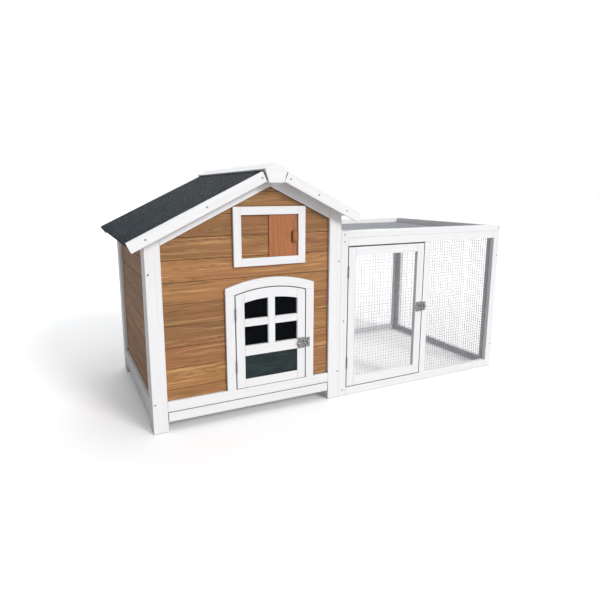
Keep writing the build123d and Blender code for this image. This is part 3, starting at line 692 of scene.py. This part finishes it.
# ---------- run door and tray front
# The run door is two stiles and two rails of the same painted pine; the tray has a painted board
# across its front that fills the space between the legs.
RUN_DOOR_SEED = 360
for number, name in enumerate(("run_door_stiles", "run_door_rails", "tray_front")):
    dress_boards(name, paint, RUN_DOOR_SEED + number, DOOR_EASE)


# ---------- welded wire
# Half-inch welded mesh of 1 mm galvanised wire, stapled to the inner faces of the frames. The level
# wires lie on the upright ones and are welded at every crossing.
WIRE_PITCH = 0.0127
WIRE_THICK = 0.00104
WIRE_SIDES = 6
WIRE_SEGMENTS = 14
WELD_DEPTH = 0.80
WIRE_SMOOTH = 50
BULGE = 0.0015
WIRE_DULL = (0.30, 0.31, 0.34)
WIRE_BRIGHT = (0.50, 0.515, 0.55)


def wire_finish():
    """Mottled, half-bright zinc."""
    made, tree, shader = material("galvanised_wire", Metallic=0.55)
    place = place_of(tree)
    mottle = noise(tree, place, 240.0, 4.0, 0.6)
    colour = blend_colour(tree, step(tree, mottle, 0.3, 0.7), WIRE_DULL, WIRE_BRIGHT)
    coat(tree, shader, colour, times_plus(tree, mottle, 0.3, 0.30))
    return made


def geometry_tree(name, **sizes):
    """Start a geometry node tree: a Geometry, named sizes and a Finish go in, a Geometry comes out."""
    rows = [(label, "Float", default) for label, default in sizes.items()]
    rows = [("Geometry", "Geometry", None)] + rows + [("Finish", "Material", None)]
    tree, given, made = start_tree(name, "GeometryNodeTree", rows, [("Geometry", "Geometry")])
    return tree, given, made[0]


def vector(tree, **parts):
    """A vector from its parts, X, Y and Z."""
    return make(tree, "ShaderNodeCombineXYZ", **parts)


def welded_wire_tree():
    """A mesh panel in X and Z, centred on its origin, level wires in front, with a slight bulge."""
    tree, given, made = geometry_tree("welded_wire", Width=0.3, Height=0.5, Pitch=WIRE_PITCH,
                                      Wire=WIRE_THICK, Bulge=BULGE)
    radius = times(tree, given["Wire"], 0.5)
    section = make(tree, "GeometryNodeCurvePrimitiveCircle", Resolution=WIRE_SIDES, Radius=radius)
    parts = []
    for run, rise, level in (("Width", "Height", True), ("Height", "Width", False)):
        half = times(tree, given[run], 0.5)
        count = calc(tree, "FLOOR", calc(tree, "DIVIDE", given[rise], given["Pitch"]))
        first = times(tree, times(tree, count, given["Pitch"]), -0.5)
        axis = "X" if level else "Z"
        other = "Z" if level else "X"
        low = vector(tree, **{axis: times(tree, half, -1.0)})
        high = vector(tree, **{axis: half})
        line = make(tree, "GeometryNodeCurvePrimitiveLine", Start=low, End=high)
        line = make(tree, "GeometryNodeResampleCurve", Curve=line, Count=WIRE_SEGMENTS)
        wire = make(tree, "GeometryNodeCurveToMesh", Curve=line, Profile_Curve=section, Fill_Caps=True)
        side = times(tree, radius, -WELD_DEPTH if level else WELD_DEPTH)
        start = vector(tree, Y=side, **{other: first})
        pitch = vector(tree, **{other: given["Pitch"]})
        number = calc(tree, "ADD", count, 1.0)
        spots = make(tree, "GeometryNodeMeshLine", {"mode": "OFFSET"},
                     Count=number, Start_Location=start, Offset=pitch)
        parts.append(make(tree, "GeometryNodeInstanceOnPoints", Points=spots, Instance=wire))
    join = tree.nodes.new("GeometryNodeJoinGeometry")
    for part in parts:
        tree.links.new(part, join.inputs[0])
    real = make(tree, "GeometryNodeRealizeInstances", Geometry=join.outputs[0])
    place = make(tree, "GeometryNodeInputPosition")
    wave = calc(tree, "SUBTRACT", noise(tree, place, 9.0, 1.0), 0.5)
    parted = add(tree, "ShaderNodeSeparateXYZ", Vector=place).outputs
    free = 1.0
    for axis, size in ((0, "Width"), (2, "Height")):
        share = calc(tree, "DIVIDE", parted[axis], given[size])
        held = times_plus(tree, calc(tree, "POWER", share, 2.0), -4.0, 1.0)
        free = times(tree, free, held)
    push = times(tree, times(tree, wave, free), times(tree, given["Bulge"], 4.0))
    offset = vector(tree, Y=push)
    bent = make(tree, "GeometryNodeSetPosition", Geometry=real, Offset=offset)
    done = make(tree, "GeometryNodeSetMaterial", Geometry=bent, Material=given["Finish"])
    tree.links.new(done, made)
    return tree


def grow(name, tree, values, seed_mesh=None):
    """Run a geometry tree with the given inputs and return the plain mesh that it makes."""
    host = show(name, seed_mesh or bpy.data.meshes.new(name))
    modifier = host.modifiers.new("grow", "NODES")
    modifier.node_group = tree
    for item in tree.interface.items_tree:
        if item.in_out == "INPUT" and item.name in values:
            modifier[item.identifier] = values[item.name]
    view = bpy.context.evaluated_depsgraph_get()
    data = bpy.data.meshes.new_from_object(host.evaluated_get(view), depsgraph=view)
    host.modifiers.clear()
    bpy.data.objects.remove(host)
    data.name = name
    return data


wire_steel = wire_finish()
wire_tree = welded_wire_tree()
TURNS = {"X": Matrix.Rotation(math.radians(90), 4, "Z"), "Y": Matrix.Identity(4),
         "Z": Matrix.Rotation(math.radians(-90), 4, "X")}
MESHES = (("run_front_mesh", "Y", 1), ("run_door_mesh", "Y", 1), ("run_back_mesh", "Y", -1),
          ("run_side_mesh", "X", -1), ("run_roof_mesh", "Z", -1))
for node, normal, inward in MESHES:
    low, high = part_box(node)
    size = high - low
    width = size.y if normal == "X" else size.x
    height = size.y if normal == "Z" else size.z
    data = grow(node + "_wires", wire_tree, {"Width": width, "Height": height, "Finish": wire_steel})
    through = "XYZ".index(normal)
    stack = WIRE_THICK * (1 + WELD_DEPTH)
    middle = (low + high) / 2
    middle[through] += inward * (stack - size[through]) / 2
    data.transform(Matrix.Translation(middle) @ TURNS[normal])
    settle(data, node + "_wires", node, WIRE_SMOOTH, [node])


# ---------- staples
# Crown staples of flat galvanised wire, shot through the mesh into the inner faces of the frames,
# about every 90 mm and at random slants.
STAPLE_PITCH = 0.088
STAPLE_CROWN = 0.0105
STAPLE_WIRE = 0.0012
STAPLE_INSET = 0.0035
STAPLE_SINK = 0.6
STAPLE_SLANT = 0.7
STAPLE_SEED = 77
STAPLE_SMOOTH = 40


def staple_tree():
    """A staple crown on each point, turned to face the way stored on it."""
    tree, given, made = geometry_tree("staples", Crown=STAPLE_CROWN, Wire=STAPLE_WIRE)
    rise = times(tree, given["Wire"], 0.9)
    size = vector(tree, X=given["Crown"], Y=given["Wire"], Z=rise)
    bar = make(tree, "GeometryNodeMeshCube", Size=size, Vertices_X=5)
    place = make(tree, "GeometryNodeInputPosition")
    along = make(tree, "ShaderNodeSeparateXYZ", Vector=place)
    share = calc(tree, "DIVIDE", along, given["Crown"])
    bow = times(tree, calc(tree, "POWER", share, 2.0), times(tree, given["Wire"], -2.4))
    offset = vector(tree, Z=bow)
    bar = make(tree, "GeometryNodeSetPosition", Geometry=bar, Offset=offset)
    tree.links.new(fixings_on_points(tree, given["Geometry"], bar, given["Finish"]), made)
    return tree


def fixings_on_points(tree, points, shape, finish):
    """Place one shape on every point by its stored facing and turn; returns the finished geometry."""
    stored = "GeometryNodeInputNamedAttribute"
    facing = make(tree, stored, {"data_type": "FLOAT_VECTOR"}, Name="facing")
    turn = make(tree, stored, {"data_type": "FLOAT"}, Name="turn")
    aim = make(tree, "FunctionNodeAlignRotationToVector", {"axis": "Z"}, Vector=facing)
    spin = make(tree, "FunctionNodeAxisAngleToRotation", Axis=ALONG_Z, Angle=turn)
    aim = make(tree, "FunctionNodeRotateRotation", {"rotation_space": "LOCAL"},
               Rotation=aim, Rotate_By=spin)
    placed = make(tree, "GeometryNodeInstanceOnPoints", Points=points, Instance=shape, Rotation=aim)
    real = make(tree, "GeometryNodeRealizeInstances", Geometry=placed)
    return make(tree, "GeometryNodeSetMaterial", Geometry=real, Material=finish)


def fixing_points(name, rows):
    """Points for fixings; a row is (place, facing, turn)."""
    data = bpy.data.meshes.new(name)
    data.from_pydata([row[0] for row in rows], [], [])
    data.attributes.new("facing", "FLOAT_VECTOR", "POINT")
    data.attributes.new("turn", "FLOAT", "POINT")
    for number, row in enumerate(rows):
        data.attributes["facing"].data[number].vector = row[1]
        data.attributes["turn"].data[number].value = row[2]
    return data


def border(low, high, across, up, level, inset, pitch):
    """Points evenly spaced round a rectangle in two axes, at one level of the third."""
    left, right = low[across] + inset, high[across] - inset
    bottom, top = low[up] + inset, high[up] - inset
    corners = [(left, bottom), (right, bottom), (right, top), (left, top)]
    third = 3 - across - up
    spots = []
    for first, second in zip(corners, corners[1:] + corners[:1]):
        length = math.dist(first, second)
        count = max(1, round(length / pitch))
        for number in range(count):
            share = (number + 0.5) / count
            spot = Vector((0, 0, 0))
            spot[across] = first[0] + (second[0] - first[0]) * share
            spot[up] = first[1] + (second[1] - first[1]) * share
            spot[third] = level
            spots.append(spot)
    return spots


staples = staple_tree()
dice = Random(STAPLE_SEED)
for node, normal, inward in MESHES:
    low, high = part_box(node)
    through = "XYZ".index(normal)
    across, up = [axis for axis in (0, 1, 2) if axis != through]
    level = (low if inward < 0 else high)[through] + inward * WIRE_THICK * STAPLE_SINK
    facing = [0, 0, 0]
    facing[through] = inward
    rows = [(spot, facing, dice.uniform(-STAPLE_SLANT, STAPLE_SLANT)) for spot in
            border(low, high, across, up, level, STAPLE_INSET, STAPLE_PITCH)]
    points = fixing_points(node + "_staple_points", rows)
    data = grow(node + "_staples", staples, {"Finish": wire_steel}, points)
    settle(data, node + "_staples", node, STAPLE_SMOOTH)


# ---------- frame screws
# Countersunk cross-head screws through the corners, the posts between house and run, and the barge
# boards. Their dark plating shows as small dots in the white paint.
SCREW_RADIUS = 0.0036
SCREW_HEAD = 0.0012
SCREW_SIDES = 20
SCREW_SMOOTH = 30
HALF_TURN = 3.1
SAME_FACE = 0.0001
PLATING_DARK = (0.10, 0.095, 0.09)
PLATING_LIGHT = (0.26, 0.25, 0.23)
# Dark for the cross recess: painted shade, with some dirt.
PLATING_DIRT_AND_SHADE = (0.02, 0.018, 0.016)


def screw_head_tree():
    """A flat screw head with a chamfered rim and a cross recess on each point."""
    tree, given, made = geometry_tree("screw_heads", Radius=SCREW_RADIUS, Height=SCREW_HEAD)
    radius = given["Radius"]
    head = make(tree, "GeometryNodeMeshCone", Vertices=SCREW_SIDES, Radius_Bottom=radius,
                Radius_Top=times(tree, radius, 0.80), Depth=given["Height"])
    long_side = times(tree, radius, 1.25)
    slot_width = times(tree, radius, 0.26)
    lift = vector(tree, Z=given["Height"])
    cutters = tree.nodes.new("GeometryNodeJoinGeometry")
    for first, second in ((long_side, slot_width), (slot_width, long_side)):
        size = vector(tree, X=first, Y=second, Z=given["Height"])
        bar = make(tree, "GeometryNodeMeshCube", Size=size)
        bar = make(tree, "GeometryNodeTransform", Geometry=bar, Translation=lift)
        tree.links.new(bar, cutters.inputs[0])
    cut = make(tree, "GeometryNodeMeshBoolean", {"operation": "DIFFERENCE", "solver": "EXACT"},
               Self_Intersection=True, Mesh_1=head, Mesh_2=cutters.outputs[0])
    tree.links.new(fixings_on_points(tree, given["Geometry"], cut, given["Finish"]), made)
    return tree


def dark_plate_finish():
    """Dull dark zinc, darkened in the cross recess with painted shade and dirt."""
    made, tree, shader = material("dark_screw_plating", Metallic=0.8)
    place = place_of(tree)
    cloud = noise(tree, place, 420.0, 3.0, 0.6)
    colour = blend_colour(tree, step(tree, cloud, 0.35, 0.7), PLATING_DARK, PLATING_LIGHT)
    # Painted shade and dirt in the cross recess, from the occlusion mask.
    dirt_and_shade = use(tree, grime_and_shade, Vector=place, Reach=0.0015, Spread=0.6)["Mask"]
    colour = blend_colour(tree, dirt_and_shade, colour, PLATING_DIRT_AND_SHADE)
    coat(tree, shader, colour, times_plus(tree, cloud, 0.3, 0.30))
    return made


screw_heads = screw_head_tree()
dark_plate = dark_plate_finish()
screws = merged_copy("frame_screws")
rows = []
for solid in islands(screws):
    side = math.copysign(1.0, solid[0].co.y)
    face = max(vert.co.y * side for vert in solid) * side
    head = [vert.co for vert in solid if abs(vert.co.y - face) < SAME_FACE]
    middle = sum(head, Vector((0, 0, 0))) / len(head)
    seat = middle - Vector((0, side * SCREW_HEAD, 0))
    rows.append((seat, (0, side, 0), dice.uniform(0, HALF_TURN)))
screws.free()
points = fixing_points("frame_screw_points", rows)
data = grow("frame_screw_heads", screw_heads, {"Finish": dark_plate}, points)
settle(data, "frame_screw_heads", "frame_screws", SCREW_SMOOTH, ["frame_screws"])


# ---------- hinges
# Butt hinges of pressed steel, let into the door gaps so that only the three knuckles and the pin
# stand proud of the boards.
HINGE_EASE = 0.0003
HINGE_SMOOTH = 32
ZINC_DULL = (0.22, 0.22, 0.215)
ZINC_MID = (0.46, 0.46, 0.45)
ZINC_WORN = (0.80, 0.79, 0.76)
# Dark for the joints of the zinc parts: painted shade, with some dirt.
ZINC_DIRT_AND_SHADE = (0.03, 0.027, 0.024)


def zinc_finish():
    """Clouded zinc plate: brighter at worn corners, darkened in its joints with painted shade and
    dirt, finely scratched.
    """
    made, tree, shader = material("zinc_plate", Metallic=0.85)
    place = place_of(tree)
    cloud = noise(tree, place, 180.0, 5.0, 0.6)
    colour = blend_colour(tree, step(tree, cloud, 0.3, 0.7), ZINC_DULL, ZINC_MID)
    worn = use(tree, wear, Vector=place, Width=0.0006, Amount=0.6)["Mask"]
    colour = blend_colour(tree, worn, colour, ZINC_WORN)
    # Painted shade and dirt in the joints, from the occlusion mask.
    dirt_and_shade = use(tree, grime_and_shade, Vector=place, Reach=0.006, Spread=0.8)["Mask"]
    colour = blend_colour(tree, dirt_and_shade, colour, ZINC_DIRT_AND_SHADE)
    coat(tree, shader, colour, times_plus(tree, cloud, 0.3, 0.20))
    scratch = noise(tree, scaled(tree, place, (400.0, 60.0, 60.0)), 1.0, 3.0)
    bump(tree, shader, scratch, 0.0001, 0.5)
    return made


zinc = zinc_finish()
for node in ("hinge_frame_leaves", "house_hinge_door_leaves", "run_hinge_door_leaves", "hinge_pins"):
    mesh = merged_copy(node)
    ease(mesh, HINGE_EASE)
    publish(mesh, node + "_steel", zinc, node, HINGE_SMOOTH, [node])


# ---------- barrel bolts
# A zinc-plated bolt on each door: a plate with two pressed loops, a round bolt with a knob that
# slides in them, and a keeper plate with a wider loop on the frame, all held by small screws.
PLATE_CORNER = 0.0028
PLATE_T = 0.0012
PLATE_EASE = 0.00022
CORNER_STEPS = 4
LOOP_WALL = 0.0012
LOOP_STEPS = 10
LOOP_FOOT = 0.0010
LOOP_INSET = 0.0005
LOOP_WIDTH = 0.0045
LOOP_PLAY = 0.0003
KEEPER_LOOP = 0.008
KEEPER_PLAY = 0.0008
BOLT_EASE = 0.0006
BOLT_SMOOTH = 40
FIXING_RADIUS = 0.0023
FIXING_HEAD = 0.0009
FIXING_SINK = 0.0003
FIXING_INSET = (0.0045, 0.0055)
KEEPER_FIXING_INSET = 0.005


def prism(mesh, first, last):
    """Close the solid between two outlines that have as many corners."""
    first = [mesh.verts.new(spot) for spot in first]
    last = [mesh.verts.new(spot) for spot in last]
    mesh.faces.new(first)
    mesh.faces.new(last[::-1])
    for number in range(len(first)):
        after = (number + 1) % len(first)
        mesh.faces.new((first[after], first[number], last[number], last[after]))


def rounded_plate(mesh, low, high, corner):
    """Sheet with round corners, in X and Z, from low to high."""
    outline = []
    centres = ((high.x, high.z, 0), (low.x, high.z, 90), (low.x, low.z, 180), (high.x, low.z, 270))
    for corner_x, corner_z, start in centres:
        inward_x = -corner if start in (0, 270) else corner
        inward_z = -corner if start in (0, 90) else corner
        for number in range(CORNER_STEPS + 1):
            angle = math.radians(start + number * 90 / CORNER_STEPS)
            outline.append((corner_x + inward_x + corner * math.cos(angle),
                            corner_z + inward_z + corner * math.sin(angle)))
    prism(mesh, [(x, low.y, z) for x, z in outline], [(x, high.y, z) for x, z in outline])


def pressed_loop(mesh, x, axis, inner, base_y):
    """Strap bent over the bolt: two legs and a half round, from x[0] to x[1]."""
    outline = []
    down = range(LOOP_STEPS + 1)
    for radius, turns in ((inner + LOOP_WALL, down), (inner, reversed(down))):
        arc = [math.pi * number / LOOP_STEPS for number in turns]
        curve = [(axis[0] - radius * math.sin(angle), axis[1] + radius * math.cos(angle))
                 for angle in arc]
        leg_first, leg_last = (base_y, curve[0][1]), (base_y, curve[-1][1])
        outline += [leg_first] + curve + [leg_last]
    prism(mesh, [(x[0], y, z) for y, z in outline], [(x[1], y, z) for y, z in outline])


def bolt_fitting(name, node, loops, low, high, axis, inner, screws_at):
    """A plate with its loops, and the screws at its corners, riding with the node's body."""
    mesh = bmesh.new()
    plate_low = Vector((low.x, high.y - PLATE_T, low.z))
    rounded_plate(mesh, plate_low, high, PLATE_CORNER)
    for x in loops:
        pressed_loop(mesh, x, axis, inner, high.y - LOOP_FOOT)
    bmesh.ops.recalc_face_normals(mesh, faces=mesh.faces)
    ease(mesh, PLATE_EASE, 1)
    piece = publish(mesh, name, zinc, node, HINGE_SMOOTH)
    seat = plate_low.y - FIXING_SINK
    rows = [((x, seat, z), (0, -1, 0), dice.uniform(0, HALF_TURN)) for x, z in screws_at]
    sizes = {"Finish": zinc, "Radius": FIXING_RADIUS, "Height": FIXING_HEAD}
    points = fixing_points(name + "_screw_points", rows)
    settle(grow(name + "_screws", screw_heads, sizes, points), name + "_screws", node, SCREW_SMOOTH)
    return piece


keepers = merged_copy("bolt_keepers")
keeper_boxes = []
for solid in islands(keepers):
    corner = [[pick(vert.co[axis] for vert in solid) for axis in range(3)] for pick in (min, max)]
    keeper_boxes.append([Vector(corner[0]), Vector(corner[1])])
keepers.free()
keeper_boxes.sort(key=lambda box: box[0].x)
BOLTS = (("house_bolt_plate", "house_bolt"), ("run_bolt_plate", "run_bolt"))
for (door, bolt), keeper in zip(BOLTS, keeper_boxes):
    low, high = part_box(door)
    bolt_low, bolt_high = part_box(bolt)
    radius = (bolt_high.z - bolt_low.z) / 2
    axis = (bolt_high.y - radius, (bolt_low.z + bolt_high.z) / 2)
    first, last = low.x + LOOP_INSET, high.x - LOOP_INSET
    loops = [(first, first + LOOP_WIDTH), (last - LOOP_WIDTH, last)]
    rows = [(x, z) for x in (low.x + FIXING_INSET[0], high.x - FIXING_INSET[0])
            for z in (low.z + FIXING_INSET[1], high.z - FIXING_INSET[1])]
    piece = bolt_fitting(door + "_steel", door, loops, low, high, axis, radius + LOOP_PLAY, rows)
    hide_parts(door)
    mesh = merged_copy(bolt)
    ease(mesh, BOLT_EASE)
    publish(mesh, bolt + "_steel", zinc, bolt, BOLT_SMOOTH, [bolt])
    low, high = keeper
    middle = (low.x + high.x) / 2
    loops = [(middle - KEEPER_LOOP / 2, middle + KEEPER_LOOP / 2)]
    rows = [(middle, low.z + KEEPER_FIXING_INSET), (middle, high.z - KEEPER_FIXING_INSET)]
    name = door.replace("bolt_plate", "keeper")
    piece = bolt_fitting(name, "bolt_keepers", loops, low, high, axis, radius + KEEPER_PLAY, rows)
    if door == "house_bolt_plate":
        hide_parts("bolt_keepers")


# ---------- tray pan
# Galvanised sheet folded up at its edges, with the broad spangle of hot-dip zinc. It hangs behind
# its painted front board and slides in the two bare runners.
PAN_EASE = 0.0003
SPANGLES_PER_METRE = 85.0
SPANGLE_DARK = (0.42, 0.43, 0.45)
SPANGLE_LIGHT = (0.66, 0.67, 0.69)


def pan_finish():
    """Crystals of zinc, each with a grey of its own."""
    made, tree, shader = material("hot_dip_zinc", Metallic=0.9)
    place = place_of(tree)
    flakes = add(tree, "ShaderNodeTexVoronoi", Vector=place, Scale=SPANGLES_PER_METRE)
    shade = make(tree, "ShaderNodeSeparateColor", Color=flakes.outputs["Color"])
    colour = blend_colour(tree, shade, SPANGLE_DARK, SPANGLE_LIGHT)
    coat(tree, shader, colour, times_plus(tree, shade, 0.25, 0.28))
    return made


mesh = merged_copy("tray_pan")
ease(mesh, PAN_EASE, 1)
publish(mesh, "tray_pan_sheet", pan_finish(), "tray_pan", None, ["tray_pan"])


# ---------- floor, light and camera
# A plain white floor and a white surround. A broad key light comes from the front right, a softer
# one from overhead, and a weak one from behind keeps the far side from going dull.
FLOOR_HALF = 30.0
FLOOR_PALE = (0.88, 0.88, 0.88)
FLOOR_WHITE = (0.90, 0.90, 0.90)
FLOOR_BOUNCE = (0.62, 0.62, 0.63)
FLOOR_GLOW = 0.10
FLOOR_GLOW_FAR = 0.20
SUN_TINT = (1.0, 0.978, 0.962)
SUNS = (("key", 2.08, 20, (-0.34, 0.82, -0.46)), ("overhead", 1.0, 50, (-0.05, 0.1, -1.0)),
        ("rear", 0.9, 45, (-0.30, -0.85, -0.40)))
SKY = (0.90, 0.95, 1.0, 1.0)
SKY_LEAST = 0.17
SKY_MORE = 0.36
SKY_BRIGHT_SIDE = (0.83, -0.25, 0.5)

data = bpy.data.meshes.new("floor")
corners = [(-FLOOR_HALF, -FLOOR_HALF, 0), (FLOOR_HALF, -FLOOR_HALF, 0),
           (FLOOR_HALF, FLOOR_HALF, 0), (-FLOOR_HALF, FLOOR_HALF, 0)]
data.from_pydata(corners, [], [(0, 1, 2, 3)])
floor = show("floor", data)
floor_white, tree, shader = material("floor_white")
place = place_of(tree)
speck = noise(tree, place, 3.0, 2.0)
seen = blend_colour(tree, speck, FLOOR_PALE, FLOOR_WHITE)
ray = add(tree, "ShaderNodeLightPath").outputs["Is Camera Ray"]
tree.links.new(blend_colour(tree, ray, FLOOR_BOUNCE, seen), shader.inputs["Base Color"])
shader.inputs["Roughness"].default_value = 0.9
away = add(tree, "ShaderNodeVectorMath", {"operation": "LENGTH"}, i0=place).outputs["Value"]
glow = times_plus(tree, step(tree, away, 0.6, 2.4), FLOOR_GLOW_FAR, FLOOR_GLOW)
glow = times(tree, glow, ray)
tree.links.new(glow, shader.inputs["Emission Color"])
shader.inputs["Emission Strength"].default_value = 1.0
data.materials.append(floor_white)

for name, energy, spread, aim in SUNS:
    light = bpy.data.lights.new(name, "SUN")
    light.energy = energy
    light.angle = math.radians(spread)
    light.color = SUN_TINT
    show(name, light).rotation_euler = Vector(aim).to_track_quat("-Z", "Y").to_euler()

world = bpy.data.worlds.new("studio")
world.use_nodes = True
tree = world.node_tree
background = tree.nodes["Background"]
seen = add(tree, "ShaderNodeBackground", Color=(1.0, 1.0, 1.0, 1.0), Strength=1.0)
background.inputs["Color"].default_value = SKY
heading = add(tree, "ShaderNodeTexCoord").outputs["Generated"]
toward = add(tree, "ShaderNodeVectorMath", {"operation": "DOT_PRODUCT"},
             i0=heading, i1=SKY_BRIGHT_SIDE).outputs["Value"]
strength = times_plus(tree, step(tree, toward, -0.8, 0.9), SKY_MORE, SKY_LEAST)
tree.links.new(strength, background.inputs["Strength"])
path = add(tree, "ShaderNodeLightPath")
pick = tree.nodes.new("ShaderNodeMixShader")
tree.links.new(path.outputs["Is Camera Ray"], pick.inputs[0])
tree.links.new(background.outputs[0], pick.inputs[1])
tree.links.new(seen.outputs[0], pick.inputs[2])
tree.links.new(pick.outputs[0], tree.nodes["World Output"].inputs["Surface"])
bpy.context.scene.world = world
bpy.context.scene.view_settings.view_transform = "Standard"

# The eye stands 0.79 m up, to the left of the house, and looks a little right and down.
YAW = math.radians(26.0)
PITCH = math.radians(-10.8)
lens = bpy.data.cameras.new("camera")
lens.sensor_width = 36.0
lens.lens = 29.48
lens.shift_x = 0.0093
lens.shift_y = -0.0268
camera = show("camera", lens)
camera.location = (-0.9587, -1.8790, 0.785)
look = Vector((math.sin(YAW) * math.cos(PITCH), math.cos(YAW) * math.cos(PITCH), math.sin(PITCH)))
camera.rotation_euler = look.to_track_quat("-Z", "Y").to_euler()
bpy.context.scene.camera = camera
